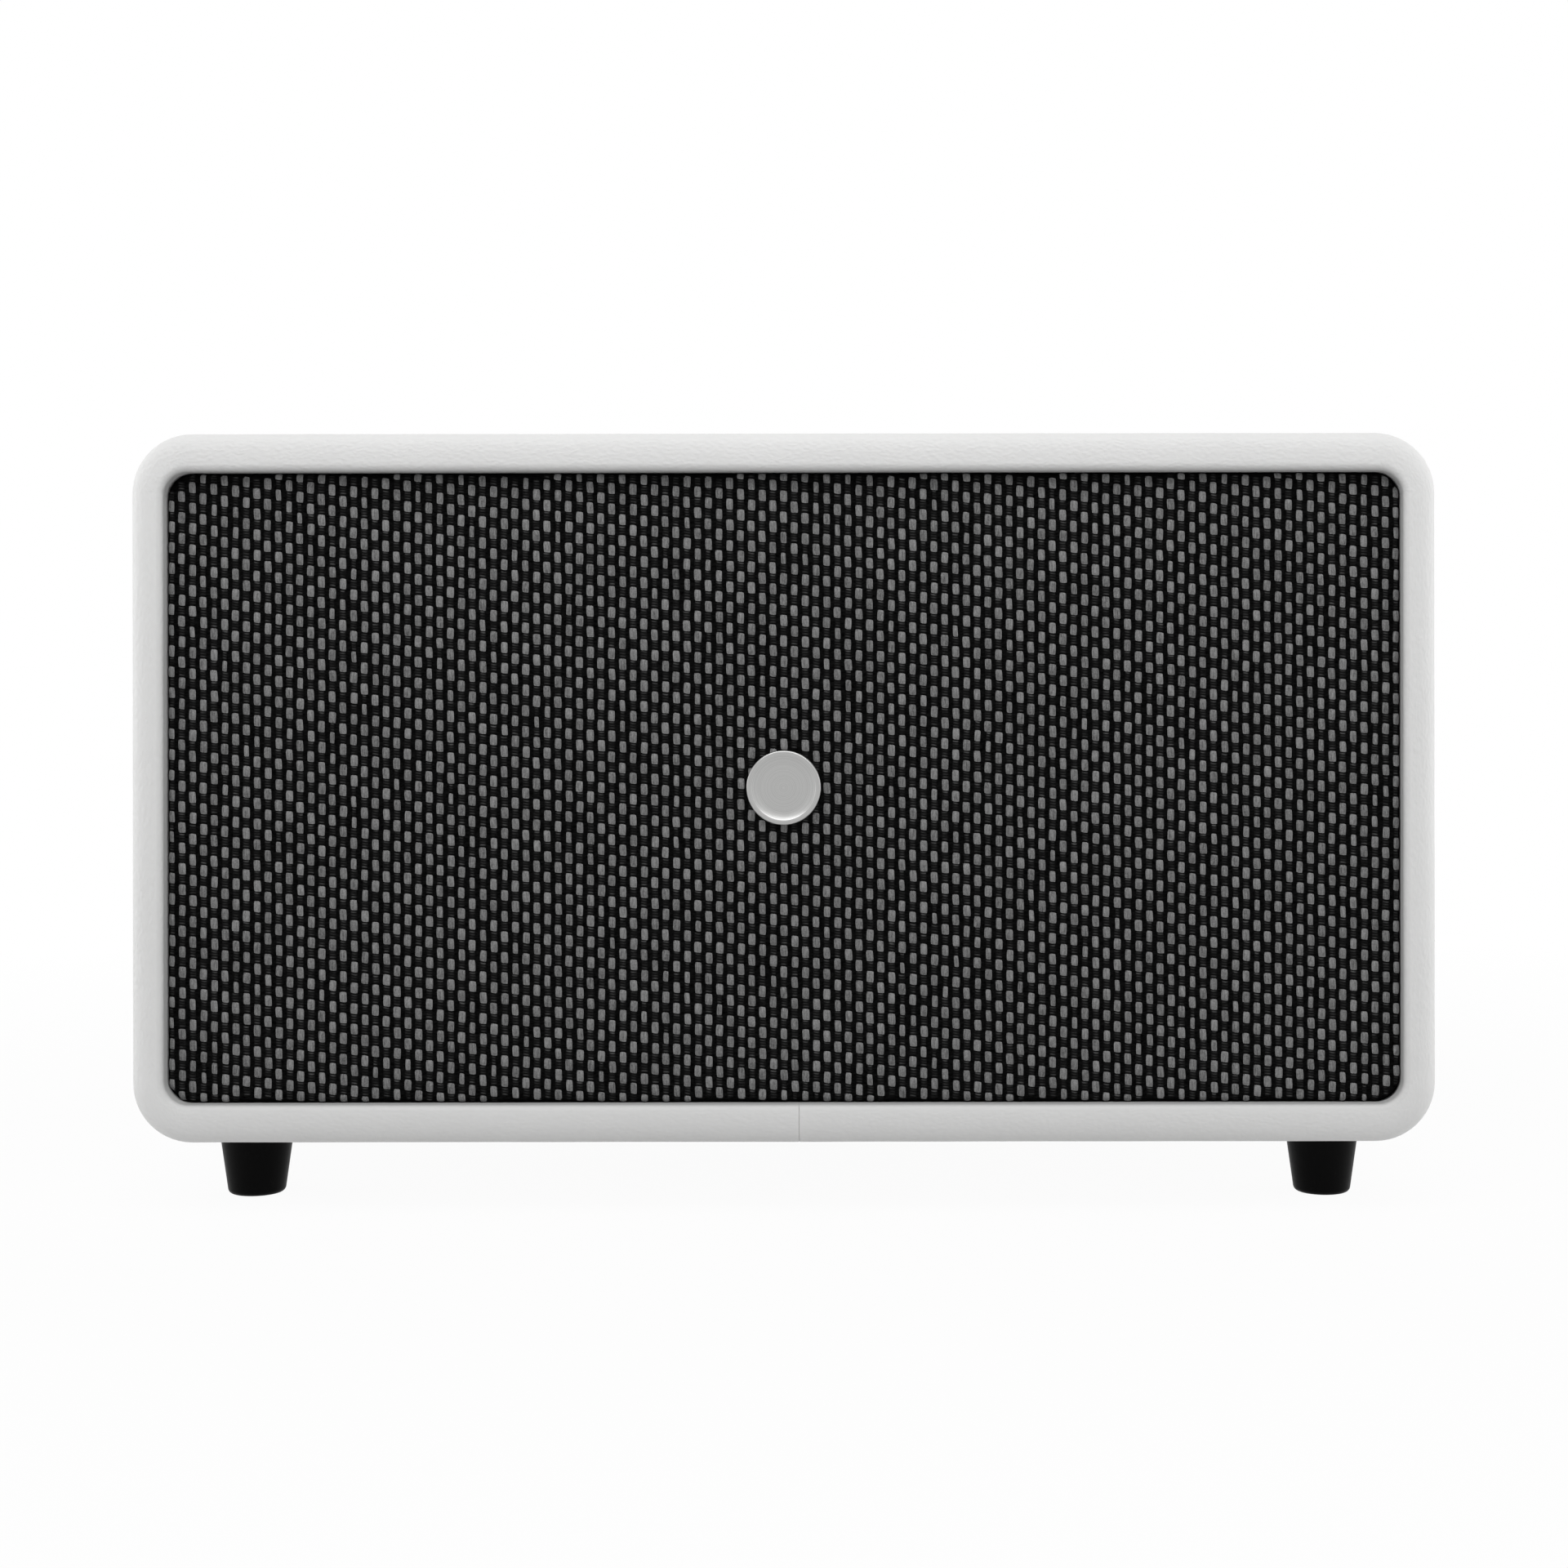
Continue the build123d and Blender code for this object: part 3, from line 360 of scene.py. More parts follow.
def boardFinish(name, colour):
    finish, start, shader = startFinish(name, colour, rough=0.38)
    place = objectPlace(start)
    copper = cellsOn(place, scale=190.0, feature="DISTANCE_TO_EDGE", random=0.15) < 0.05
    feed(shader, "Base Color", toned(copper, colour, low=1.0, high=1.9))
    feed(shader, "Roughness", between(noiseOn(place, scale=400.0), low=0.3, high=0.45))
    bumpFrom(shader, copper, strength=0.3, depth=0.00005)
    return finish


def lensFinish():
    finish, start, shader = startFinish("statusLens", (0.75, 0.78, 0.8), rough=0.12)
    feed(shader, "Roughness", between(noiseOn(objectPlace(start), scale=900.0), low=0.08, high=0.2))
    return finish


badgeCentre = (0.0, 0.0, sum(v.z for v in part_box("badge")) / 2)
finishes = {
    "leather": leatherFinish(),
    "clothBack": backClothFinish(),
    "greyYarn": greyFloatFinish(),
    "darkYarn": darkFloatFinish(),
    "foot": mouldedFinish("footSatinBlack", (0.0016, 0.0016, 0.0016), 0.38, grain=900.0, depth=0.00003,
                          specular=0.045),
    "badge": spunMetalFinish("badgeSpunMetal", (0.46, 0.46, 0.455), 0.34, badgeCentre),
    "rear": pebbledFinish("rearPebbledBlack", (0.017, 0.017, 0.0175), 0.55, cell=820.0, depth=0.0009),
    "plate": mouldedFinish("plateSatinBlack", (0.012, 0.012, 0.0125), 0.34, grain=2200.0, depth=0.00003,
                           specular=0.4),
    "socket": mouldedFinish("socketBlack", (0.014, 0.014, 0.014), 0.42, grain=1800.0),
    "control": mouldedFinish("controlSatinBlack", (0.019, 0.019, 0.0195), 0.42, grain=1700.0, depth=0.00004,
                             specular=0.4),
    "button": mouldedFinish("buttonSatinGrey", (0.055, 0.055, 0.0565), 0.38, grain=1700.0, depth=0.00003,
                            specular=0.4),
    "mark": mouldedFinish("buttonMarkWhite", (0.72, 0.72, 0.72), 0.5, grain=2200.0, depth=0.00002,
                          spread=0.05),
    "rubber": mouldedFinish("blackRubber", (0.018, 0.018, 0.018), 0.7, grain=700.0, depth=0.00008),
    "foam": mouldedFinish("gasketFoam", (0.035, 0.035, 0.036), 0.92, grain=1600.0, depth=0.0003),
    "screw": turnedMetalFinish("blackenedScrew", (0.06, 0.06, 0.062), 0.42, (2200.0, 500.0, 2200.0)),
    "basket": mouldedFinish("basketBlackSteel", (0.02, 0.02, 0.021), 0.34, grain=600.0, depth=0.00004),
    "cone": fibreFinish("conePressedPaper", (0.045, 0.044, 0.043), 0.85, (600.0, 600.0, 600.0)),
    "cap": fibreFinish("capPressedPaper", (0.036, 0.035, 0.034), 0.7, (700.0, 700.0, 700.0)),
    "copper": turnedMetalFinish("coilCopper", (0.72, 0.33, 0.16), 0.3, (200.0, 5200.0, 200.0)),
    "spider": fibreFinish("spiderCloth", (0.50, 0.31, 0.09), 0.9, (1600.0, 1600.0, 1600.0)),
    "steel": turnedMetalFinish("platedSteel", (0.56, 0.56, 0.55), 0.33, (400.0, 3000.0, 400.0)),
    "ferrite": mouldedFinish("magnetFerrite", (0.032, 0.032, 0.034), 0.62, grain=500.0, depth=0.00015),
    "paintedBoard": fibreFinish("paintedFibreboard", (0.006, 0.006, 0.006), 0.9, (420.0, 420.0, 1300.0)),
    "fibreboard": fibreFinish("rawFibreboard", (0.40, 0.29, 0.18), 0.88, (420.0, 420.0, 1300.0)),
    "boardGreen": boardFinish("boardSolderMask", (0.016, 0.095, 0.042)),
    "aluminium": turnedMetalFinish("extrudedAluminium", (0.66, 0.67, 0.68), 0.36, (2600.0, 2600.0, 120.0)),
    "component": mouldedFinish("componentBlack", (0.026, 0.026, 0.03), 0.45, grain=1200.0),
    "tinned": turnedMetalFinish("tinnedShield", (0.62, 0.62, 0.63), 0.3, (700.0, 700.0, 700.0)),
    "jacket": mouldedFinish("leadJacket", (0.016, 0.016, 0.016), 0.5, grain=900.0),
    "wadding": fibreFinish("looseWadding", (0.68, 0.68, 0.66), 0.97, (240.0, 240.0, 240.0), spread=0.15,
                           depth=0.0015),
    "lens": lensFinish(),
}
print("stage: finishes made,", len(finishes))


# CAD pieces that keep their shape
dressing = {
    "foot": ["foot_front_left", "foot_front_right", "foot_rear_left", "foot_rear_right"],
    "rear": ["rear_panel"],
    "plate": ["input_plate", "port_tube"],
    "socket": ["mains_inlet", "audio_jack", "grille_frame", "trim_rings", "board_standoffs"],
    "control": ["control_panel"],
    "button": ["power_button", "source_button", "volume_down_button", "volume_up_button", "mute_button"],
    "rubber": ["grille_cups", "left_surround", "right_surround"],
    "foam": ["driver_seals", "rear_gasket"],
    "screw": ["foot_screws", "driver_screws", "board_screws", "rear_panel_screws", "input_plate_screws"],
    "basket": ["left_basket", "right_basket"],
    "cone": ["left_cone", "right_cone"],
    "cap": ["left_dust_cap", "right_dust_cap"],
    "copper": ["left_voice_coil", "right_voice_coil"],
    "steel": ["top_plates", "yokes"],
    "ferrite": ["magnets"],
    "paintedBoard": ["front_baffle"],
    "fibreboard": ["cabinet_shell", "rear_cleats"],
    "boardGreen": ["amplifier_board", "supply_board", "control_board"],
    "aluminium": ["heat_sink"],
    "component": ["capacitors", "transformer", "board_connectors", "button_switches"],
    "tinned": ["radio_module"],
    "jacket": ["speaker_leads", "board_leads"],
    "wadding": ["damping_pads"],
    "lens": ["status_lens"],
}
for look, names in dressing.items():
    for name in names:
        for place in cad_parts[name].material_slots:
            place.material = finishes[look]
print("stage: CAD pieces dressed")


def boxInMm(node):
    return [v * 1000 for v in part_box(node)]


def clipped(value):
    return min(1.0, max(0.0, value))


def newPiece(name, mesh, look):
    piece = bpy.data.objects.new(name, mesh)
    bpy.context.collection.objects.link(piece)
    mesh.materials.append(finishes[look])
    return piece


def applied(piece):
    # modifiers worked into a plain mesh
    shown = piece.evaluated_get(bpy.context.evaluated_depsgraph_get())
    mesh = bpy.data.meshes.new_from_object(shown)
    piece.modifiers.clear()
    old = piece.data
    piece.data = mesh
    bpy.data.meshes.remove(old)
    return piece


def thickened(piece, thickness):
    # a wall grown inwards from the outer face
    wall = piece.modifiers.new("thickness", "SOLIDIFY")
    wall.thickness = thickness * mm
    wall.offset = -1.0
    return applied(piece)


def meshFrom(bm, name):
    mesh = bpy.data.meshes.new(name)
    bm.to_mesh(mesh)
    bm.free()
    return mesh


def smooth(mesh):
    mesh.polygons.foreach_set("use_smooth", [True] * len(mesh.polygons))
    mesh.update()


def outward(bm):
    bmesh.ops.remove_doubles(bm, verts=bm.verts, dist=1e-7)
    bmesh.ops.recalc_face_normals(bm, faces=bm.faces)


# Leathercloth over the cabinet: one strip swept round the rim, butted at a seam underneath
wrapShape = {
    "corner": 16.0, "innerCorner": 6.5, "sideRim": 8.9, "topRim": 10.4, "thickness": 0.9, "turnIn": 8.6,
    "inset": 0.45, "outerRoll": (6.6, 3.1, 2.0), "innerRoll": (1.8, 1.55, 2.0),   # across, deep, squareness
    "outerSteps": 14, "innerSteps": 7, "step": 4.0, "cornerSteps": 14, "depthStep": 5.0,
    "ripple": 0.10, "rippleSize": 21.0, "paintedShadeStart": 0.12, "outerShare": 0.02,
    "openReach": 9.0, "drawnUpTo": 13.0, "drawnFade": 8.0,
    "seamX": 4.1, "seamGap": 0.03, "seamDip": 0.10, "seamReach": 0.4,
    "seamSteps": (0.0, 0.12, 0.3, 0.7, 1.5, 2.6), "seamClear": 3.4,
}


def ringPoint(halfW, halfH, radius, side, part, turn):
    # a point on a rounded rectangle: along a side, or round the corner that ends it
    w, h = halfW - radius, halfH - radius
    sides = [(-w, -halfH, w, -halfH), (halfW, -h, halfW, h), (w, halfH, -w, halfH), (-halfW, h, -halfW, -h)]
    centres = [(w, -h), (w, h), (-w, h), (-w, -h)]
    if turn is None:
        ax, az, bx, bz = sides[side]
        return ax + (bx - ax) * part, az + (bz - az) * part
    angle = math.radians(-90 + 90 * side + 90 * turn)
    cx, cz = centres[side]
    return cx + radius * math.cos(angle), cz + radius * math.sin(angle)


def ringStations(shape, width, height, seamPart):
    # right round the ring, from one edge of the seam to the other
    stations = []
    for side, length in enumerate((width, height, width, height)):
        count = max(2, round(length / shape["step"]))
        parts = [i / count for i in range(count + 1)]
        if side == 0:
            away = [shape["seamGap"] / 2 + d for d in shape["seamSteps"]]
            near = [seamPart + way * d / length for way in (-1, 1) for d in away]
            clear = [p for p in parts if abs(p - seamPart) * length > shape["seamClear"]]
            parts = sorted(clear + near)
            first = next(i for i, p in enumerate(parts) if p > seamPart)
        stations += [(side, p, None) for p in parts]
        stations += [(side, 1.0, t / shape["cornerSteps"]) for t in range(1, shape["cornerSteps"])]
    return stations[first:] + stations[:first]


def rollPoints(across, deep, square, steps):
    # a quarter roll from the face to the wall, as distance in from the wall and depth below the face
    turns = [math.pi / 2 * (1 - i / steps) for i in range(steps + 1)]
    power = 2 / square
    ins = [across * (1 - max(0.0, math.cos(a)) ** power) for a in turns]
    depths = [deep * (1 - math.sin(a) ** power) for a in turns]
    return list(zip(ins, depths))


def rimProfile(shape, front, back):
    # share of the rim from the outer face inwards, with y and the painted shade on the turned-in skin
    rim, turnIn, innerDeep = shape["sideRim"], shape["turnIn"], shape["innerRoll"][1]

    def roll(edge, way):
        inner = [(rim - t, d) for t, d in reversed(rollPoints(*shape["innerRoll"], shape["innerSteps"]))]
        outer = rollPoints(*shape["outerRoll"], shape["outerSteps"])
        wall = [(rim, turnIn), (rim, (turnIn + inner[0][1]) / 2)]
        # painted shade: full on the wall, fading over the inner roll, none on the face
        shades = [1.0] * len(wall)
        shades += [min(1.0, d / innerDeep + shape["paintedShadeStart"]) for t, d in inner[:-1]]
        shades += [0.0] * (len(outer) + 1)
        return [(t / rim, edge + way * d, turned) for (t, d), turned in zip(wall + inner + outer, shades)]

    frontEnd, backEnd = roll(front, 1), roll(back, -1)
    low, high = frontEnd[-1][1], backEnd[-1][1]
    count = round((high - low) / shape["depthStep"])
    middle = [(0.0, low + (high - low) * i / count, 0.0) for i in range(1, count)]
    return frontEnd + middle + list(reversed(backEnd))


def buildWrap():
    shape = wrapShape
    low, high = boxInMm("leather_wrap")
    halfW, halfH = (high.x - low.x) / 2 - shape["inset"], (high.z - low.z) / 2
    midZ = (high.z + low.z) / 2
    outerR, innerR, rim = shape["corner"], shape["innerCorner"], shape["sideRim"]
    innerW, innerH = halfW - rim, halfH - shape["topRim"]
    width, height = 2 * (halfW - outerR), 2 * (halfH - outerR)
    stations = ringStations(shape, width, height, 0.5 + shape["seamX"] / width)
    profile = rimProfile(shape, low.y, high.y)
    bm = bmesh.new()
    layerNames = ("skinAlong", "skinAcross", "turnInPaintedShade", "slack", "drawn")
    layers = {name: bm.verts.layers.float.new(name) for name in layerNames}
    rows, along, last = [], 0.0, None
    for side, part, turn in stations:
        ox, oz = ringPoint(halfW, halfH, outerR, side, part, turn)
        ix, iz = ringPoint(innerW, innerH, innerR, side, part, turn)
        along += math.dist((ox, oz), last) if last else 0.0
        last = (ox, oz)
        nearSeam = max(0.0, 1 - abs(ox - shape["seamX"]) / shape["seamReach"]) if side == 0 else 0.0
        dip = nearSeam ** 2 * shape["seamDip"]
        row, across, before = [], 0.0, profile[0]
        for share, y, turned in profile:
            across += math.dist((share * rim, y), (before[0] * rim, before[1]))
            before = (share, y)
            outer = share < shape["outerShare"]
            v = bm.verts.new((ox + (ix - ox) * share, y, oz + (iz - oz) * share + (dip if outer else 0.0)))
            v.co.y += dip if y < 0 else -dip
            inFrom = min(y - low.y, high.y - y) - shape["outerRoll"][1]
            upFrom = v.co.z + halfH - shape["drawnUpTo"]
            v[layers["skinAlong"]] = along * mm
            v[layers["skinAcross"]] = across * mm
            # painted shade amount, carried to the leather colour
            v[layers["turnInPaintedShade"]] = turned
            v[layers["slack"]] = clipped(inFrom / shape["openReach"]) if outer else 0.0
            v[layers["drawn"]] = clipped(1.0 - upFrom / shape["drawnFade"])
            row.append(v)
        rows.append(row)
    for row, following in zip(rows, rows[1:]):
        for j in range(len(row) - 1):
            bm.faces.new((row[j], following[j], following[j + 1], row[j + 1]))
    bmesh.ops.recalc_face_normals(bm, faces=bm.faces)
    bm.normal_update()
    top = [f for f in bm.faces if f.calc_center_median().z > halfH - 1]   # within a millimetre of the top
    if sum(f.normal.z * f.calc_area() for f in top) < 0:
        bmesh.ops.reverse_faces(bm, faces=bm.faces)
    for v in bm.verts:
        dent = (noise.noise(v.co / shape["rippleSize"]) - 1) * 0.5   # slight unevenness, always inwards
        v.co += v.normal * shape["ripple"] * dent
    for v in bm.verts:
        v.co = Vector((v.co.x, v.co.y, v.co.z + midZ)) * mm
    mesh = meshFrom(bm, "leatherSkin")
    smooth(mesh)
    return thickened(newPiece("leatherSkin", mesh, "leather"), shape["thickness"])


def prism(outline, low, high):
    bm = bmesh.new()
    bottom = [bm.verts.new((x * mm, y * mm, low * mm)) for x, y in outline]
    top = [bm.verts.new((x * mm, y * mm, high * mm)) for x, y in outline]
    bm.faces.new(list(reversed(bottom)))
    bm.faces.new(top)
    for i in range(len(outline)):
        j = (i + 1) % len(outline)
        bm.faces.new((bottom[i], bottom[j], top[j], top[i]))
    bmesh.ops.recalc_face_normals(bm, faces=bm.faces)
    return meshFrom(bm, "prism")


controlHole = {"gap": 0.3, "corner": 6.3, "cornerSteps": 8, "below": 3.0, "above": 6.0}


def cutControlHole(piece):
    hole = controlHole
    low, high = boxInMm("control_panel")
    halfL, halfW = (high.x - low.x) / 2 + hole["gap"], (high.y - low.y) / 2 + hole["gap"]
    steps = hole["cornerSteps"]
    stations = [(0.0, None), (1.0, None)] + [(1.0, t / steps) for t in range(1, steps)]
    outline = []
    for side in range(4):
        outline += [ringPoint(halfL, halfW, hole["corner"], side, part, turn) for part, turn in stations]
    cutter = bpy.data.objects.new("cutter", prism(outline, high.z - hole["below"], high.z + hole["above"]))
    bpy.context.collection.objects.link(cutter)
    cut = piece.modifiers.new("controlHole", "BOOLEAN")
    cut.object = cutter
    cut.operation = "DIFFERENCE"
    cut.solver = "EXACT"
    applied(piece)
    bpy.data.objects.remove(cutter)
    return piece


leatherSkin = cutControlHole(buildWrap())
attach(leatherSkin, "cabinet")
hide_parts("leather_wrap")
print("stage: leathercloth wrapped,", len(leatherSkin.data.polygons), "faces")


# Grille cloth: a stretched black ground with yarn floats over it
clothShape = {
    "corner": 6.6, "edge": 1.0, "thickness": 0.6, "lift": 0.12, "backGap": 0.1, "steps": (150, 76),
    "edgeSteps": (0.0, 0.04, 0.12, 0.24, 0.4, 0.6, 0.8, 1.0),
}


def buildCloth():
    shape = clothShape
    low, high = boxInMm("grille_cloth")
    halfW, halfH = (high.x - low.x) / 2, (high.z - low.z) / 2
    midZ, face, backY = (high.z + low.z) / 2, low.y + shape["lift"], high.y
    corner, edge = shape["corner"], shape["edge"]
    near = [edge * part for part in shape["edgeSteps"]]
    bm = bmesh.new()

    def places(half, count):
        inner = half - near[-1]
        middle = [-inner + 2 * inner * i / count for i in range(1, count)]
        return [-half + d for d in near] + middle + [half - d for d in reversed(near)]

    def vertexAt(x, z):
        ox, oz = abs(x) - (halfW - corner), abs(z) - (halfH - corner)
        depth = min(halfW - abs(x), halfH - abs(z))
        if ox > 0 and oz > 0:
            big, reach = max(ox, oz), math.hypot(ox, oz)
            ox, oz = ox * big / reach, oz * big / reach   # square of the corner drawn into its arc
            x, z = math.copysign(halfW - corner + ox, x), math.copysign(halfH - corner + oz, z)
            depth = corner - big
        drop = edge - math.sqrt(max(0.0, edge ** 2 - (edge - min(depth, edge)) ** 2))
        return bm.verts.new((x * mm, (face + drop) * mm, (z + midZ) * mm))

    xs, zs = places(halfW, shape["steps"][0]), places(halfH, shape["steps"][1])
    grid = [[vertexAt(x, z) for z in zs] for x in xs]
    for i in range(len(xs) - 1):
        for j in range(len(zs) - 1):
            bm.faces.new((grid[i][j], grid[i + 1][j], grid[i + 1][j + 1], grid[i][j + 1]))
    rim = [e for e in bm.edges if e.is_boundary]
    skirt = bmesh.ops.extrude_edge_only(bm, edges=rim)["geom"]
    for v in (g for g in skirt if isinstance(g, bmesh.types.BMVert)):
        v.co.y = backY * mm - shape["backGap"] * mm
    outward(bm)
    mesh = meshFrom(bm, "grilleClothGround")
    if sum(p.normal.y * p.area for p in mesh.polygons) > 0:
        mesh.flip_normals()
    smooth(mesh)
    return thickened(newPiece("grilleClothGround", mesh, "clothBack"), shape["thickness"])


clothGround = buildCloth()

yarn = {
    "pitch": 2.887, "repeat": 5.553, "columns": 115, "rows": 38, "seed": 7, "slope": -0.070, "skew": 0.10,
    "bow": 0.9, "waves": 4.2, "waveStart": 0.6, "strayX": 0.10, "strayZ": 0.09, "turn": (-0.07, 0.05),
    "wide": (0.90, 1.04), "high": (0.85, 1.1), "long": (0.95, 1.05), "pinched": 0.12, "pinch": (0.08, 0.30),
    "sideFall": 0.9, "endFall": 0.95, "endNarrow": 0.10, "sideShort": 0.08,
    "badge": 9.2, "pastEdge": 1.2, "bendMost": 1.5,
    "grey": {"width": 1.89, "length": 2.95, "height": 0.34, "along": 6, "across": 5, "shift": 0.0},
    "dark": {"width": 1.80, "length": 2.75, "height": 0.18, "along": 6, "across": 3, "shift": 0.5},
}
yarnInputs = {
    "NodeSocketFloat": ["pitch", "repeat", "slope", "bow", "skew", "width", "length", "height", "shift",
                        "halfWide", "halfHigh", "corner", "edge", "faceY", "midZ", "badge"],
    "NodeSocketInt": ["columns", "rows", "seed", "along", "across"],
    "NodeSocketMaterial": ["finish"],
}


def yarnTree(kind):
    tree = bpy.data.node_groups.new(kind + "YarnFloats", "GeometryNodeTree")
    face = tree.interface
    face.new_socket("Geometry", in_out="OUTPUT", socket_type="NodeSocketGeometry")
    face.new_socket("Geometry", in_out="INPUT", socket_type="NodeSocketGeometry")
    inputs = {}
    for socketType, names in yarnInputs.items():
        for name in names:
            inputs[name] = face.new_socket(name, in_out="INPUT", socket_type=socketType).identifier
    source = tree.nodes.new("NodeGroupInput")
    result = tree.nodes.new("NodeGroupOutput")
    start = Wire(tree)
    get = {s.name: Wire(tree, s) for s in source.outputs if s.name}

    # one float: a small arched pad, closed underneath
    pad = start.make("GeometryNodeMeshGrid", {}, {"Size X": get["width"], "Size Y": get["length"],
                                                  "Vertices X": get["across"], "Vertices Y": get["along"]})
    border = start.make("GeometryNodeInputMeshEdgeNeighbors") < 1.5   # edges with one face only
    outline = start.make("GeometryNodeMeshToCurve", {}, {"Mesh": pad, "Selection": border})
    base = start.make("GeometryNodeFillCurve", {"mode": "NGONS"}, {"Curve": outline})
    base = start.make("GeometryNodeFlipFaces", {}, {"Mesh": base})
    pad = start.make("GeometryNodeJoinGeometry", {}, {"Geometry": pad})
    tree.links.new(base.socket, pad.socket.node.inputs["Geometry"])
    spot = start.make("GeometryNodeInputPosition")
    spotX, spotY, spotZ = (start.make("ShaderNodeSeparateXYZ", {}, {0: spot}, axis) for axis in "XYZ")
    across, along = spotX * 2.0 / get["width"], spotY * 2.0 / get["length"]
    sides, ends = across * across * across * across, along * along * along * along
    arch = (1.0 - sides * yarn["sideFall"]) * (1.0 - ends * yarn["endFall"]) * get["height"]
    padX = spotX * (1.0 - ends * yarn["endNarrow"])
    padZ = spotY * (1.0 - sides * yarn["sideShort"]) - spotX * get["skew"]
    shaped = start.make("ShaderNodeCombineXYZ", {}, {0: padX, 1: -arch, 2: padZ})
    for name, value in (("yarnAlong", along), ("yarnAcross", across)):
        pad = start.make("GeometryNodeStoreNamedAttribute", {"data_type": "FLOAT", "domain": "POINT"},
                         {"Geometry": pad, "Name": name, "Value": value})
    pad = start.make("GeometryNodeSetPosition", {}, {"Geometry": pad, "Position": shaped})

    # where each float lies
    rows = get["rows"]
    points = start.make("GeometryNodePoints", {}, {"Count": get["columns"] * rows})
    index = start.make("GeometryNodeInputIndex")
    column = start.maths("FLOOR", (index + 0.5) / rows)
    row = index - column * rows
    odd = start.maths("MODULO", column, 2.0)
    edge, corner, faceY = get["edge"], get["corner"], get["faceY"]

    def chance(low, high, offset):
        # the limits of a plain number are sockets 2 and 3, and it comes from output 1
        return start.make("FunctionNodeRandomValue", {"data_type": "FLOAT"},
                          {2: low, 3: high, "ID": index, "Seed": get["seed"] + offset}, 1)

    def outFrom(x, z):
        # how far out a point lies from the middle of the nearest corner's arc, and how far past the flat
        outX = (x.abs() - (get["halfWide"] - corner)).most(0.0)
        outZ = (z.abs() - (get["halfHigh"] - corner)).most(0.0)
        out = (outX * outX + outZ * outZ) ** 0.5
        return outX, outZ, out, (out - (corner - edge)).most(0.0)

    x = (column - (get["columns"] - 1.0) * 0.5) * get["pitch"]
    wave = (x / get["halfWide"] * yarn["waves"] + yarn["waveStart"]).sine()
    sway = get["slope"] * x + wave * get["bow"]
    z = (row - (rows - 1.0) * 0.5 + odd * 0.5 + get["shift"]) * get["repeat"] + sway
    x = x + chance(-yarn["strayX"], yarn["strayX"], 0) * mm
    z = z + chance(-yarn["strayZ"], yarn["strayZ"], 1) * mm
    place = start.make("ShaderNodeCombineXYZ", {}, {0: x, 1: faceY, 2: z + get["midZ"]})
    turn = start.make("ShaderNodeCombineXYZ", {}, {0: 0.0, 1: chance(*yarn["turn"], 8), 2: 0.0})
    under = (x * x + z * z) < get["badge"] * get["badge"]
    dropped = ((outFrom(x, z)[3] > edge * yarn["pastEdge"]) + under) > 0.5
    pinched = chance(0.0, 1.0, 2) < yarn["pinched"]
    wide = chance(*yarn["wide"], 3) - pinched * chance(*yarn["pinch"], 4)
    high, long = chance(*yarn["high"], 5), chance(*yarn["long"], 6)
    size = start.make("ShaderNodeCombineXYZ", {}, {0: wide, 1: high, 2: long})
    points = start.make("GeometryNodeSetPosition", {}, {"Geometry": points, "Position": place})
    shown = start.make("GeometryNodeInstanceOnPoints", {}, {"Points": points, "Selection": 1.0 - dropped,
                                                           "Instance": pad, "Rotation": turn, "Scale": size})
    shown = start.make("GeometryNodeStoreNamedAttribute", {"data_type": "FLOAT", "domain": "INSTANCE"},
                       {"Geometry": shown, "Name": "yarnTone", "Value": chance(0.0, 1.0, 7)})
    shown = start.make("GeometryNodeRealizeInstances", {}, {"Geometry": shown})

    # floats at the border bend with the cloth round its rolled edge
    z = spotZ - get["midZ"]
    outX, outZ, out, past = outFrom(spotX, z)
    angle = (past / edge).least(yarn["bendMost"])
    lift = faceY - spotY
    drawnIn = (out - past + angle.sine() * (edge + lift)) / out.most(1e-6) - 1.0
    bentX = spotX + spotX.sign() * outX * drawnIn
    bentY = faceY + (1.0 - angle.cosine()) * edge - lift * angle.cosine()
    bentZ = spotZ + z.sign() * outZ * drawnIn
    bent = start.make("ShaderNodeCombineXYZ", {}, {0: bentX, 1: bentY, 2: bentZ})
    shown = start.make("GeometryNodeSetPosition", {}, {"Geometry": shown, "Position": bent})
    shown = start.make("GeometryNodeSetShadeSmooth", {}, {0: shown})
    shown = start.make("GeometryNodeSetMaterial", {}, {"Geometry": shown, "Material": get["finish"]})
    tree.links.new(shown.socket, result.inputs[0])
    return tree, inputs


def buildYarn(kind, look):
    tree, inputs = yarnTree(kind)
    size = yarn[kind]
    low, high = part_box("grille_cloth")
    lengths = {
        "pitch": yarn["pitch"], "repeat": yarn["repeat"], "bow": yarn["bow"], "badge": yarn["badge"],
        "width": size["width"], "length": size["length"], "height": size["height"],
        "corner": clothShape["corner"], "edge": clothShape["edge"],
    }
    values = {
        "columns": yarn["columns"], "rows": yarn["rows"], "seed": yarn["seed"],
        "slope": yarn["slope"], "skew": yarn["skew"], "shift": size["shift"],
        "along": size["along"], "across": size["across"],
        "halfWide": (high.x - low.x) / 2, "halfHigh": (high.z - low.z) / 2,
        "faceY": low.y + clothShape["lift"] * mm, "midZ": (low.z + high.z) / 2,
        "finish": finishes[look],
    }
    values.update({key: length * mm for key, length in lengths.items()})
    name = kind + "YarnFloats"
    piece = newPiece(name, bpy.data.meshes.new(name), look)
    layer = piece.modifiers.new("floats", "NODES")
    layer.node_group = tree
    for key, value in values.items():
        layer[inputs[key]] = value
    applied(piece)
    bpy.data.node_groups.remove(tree)
    return piece


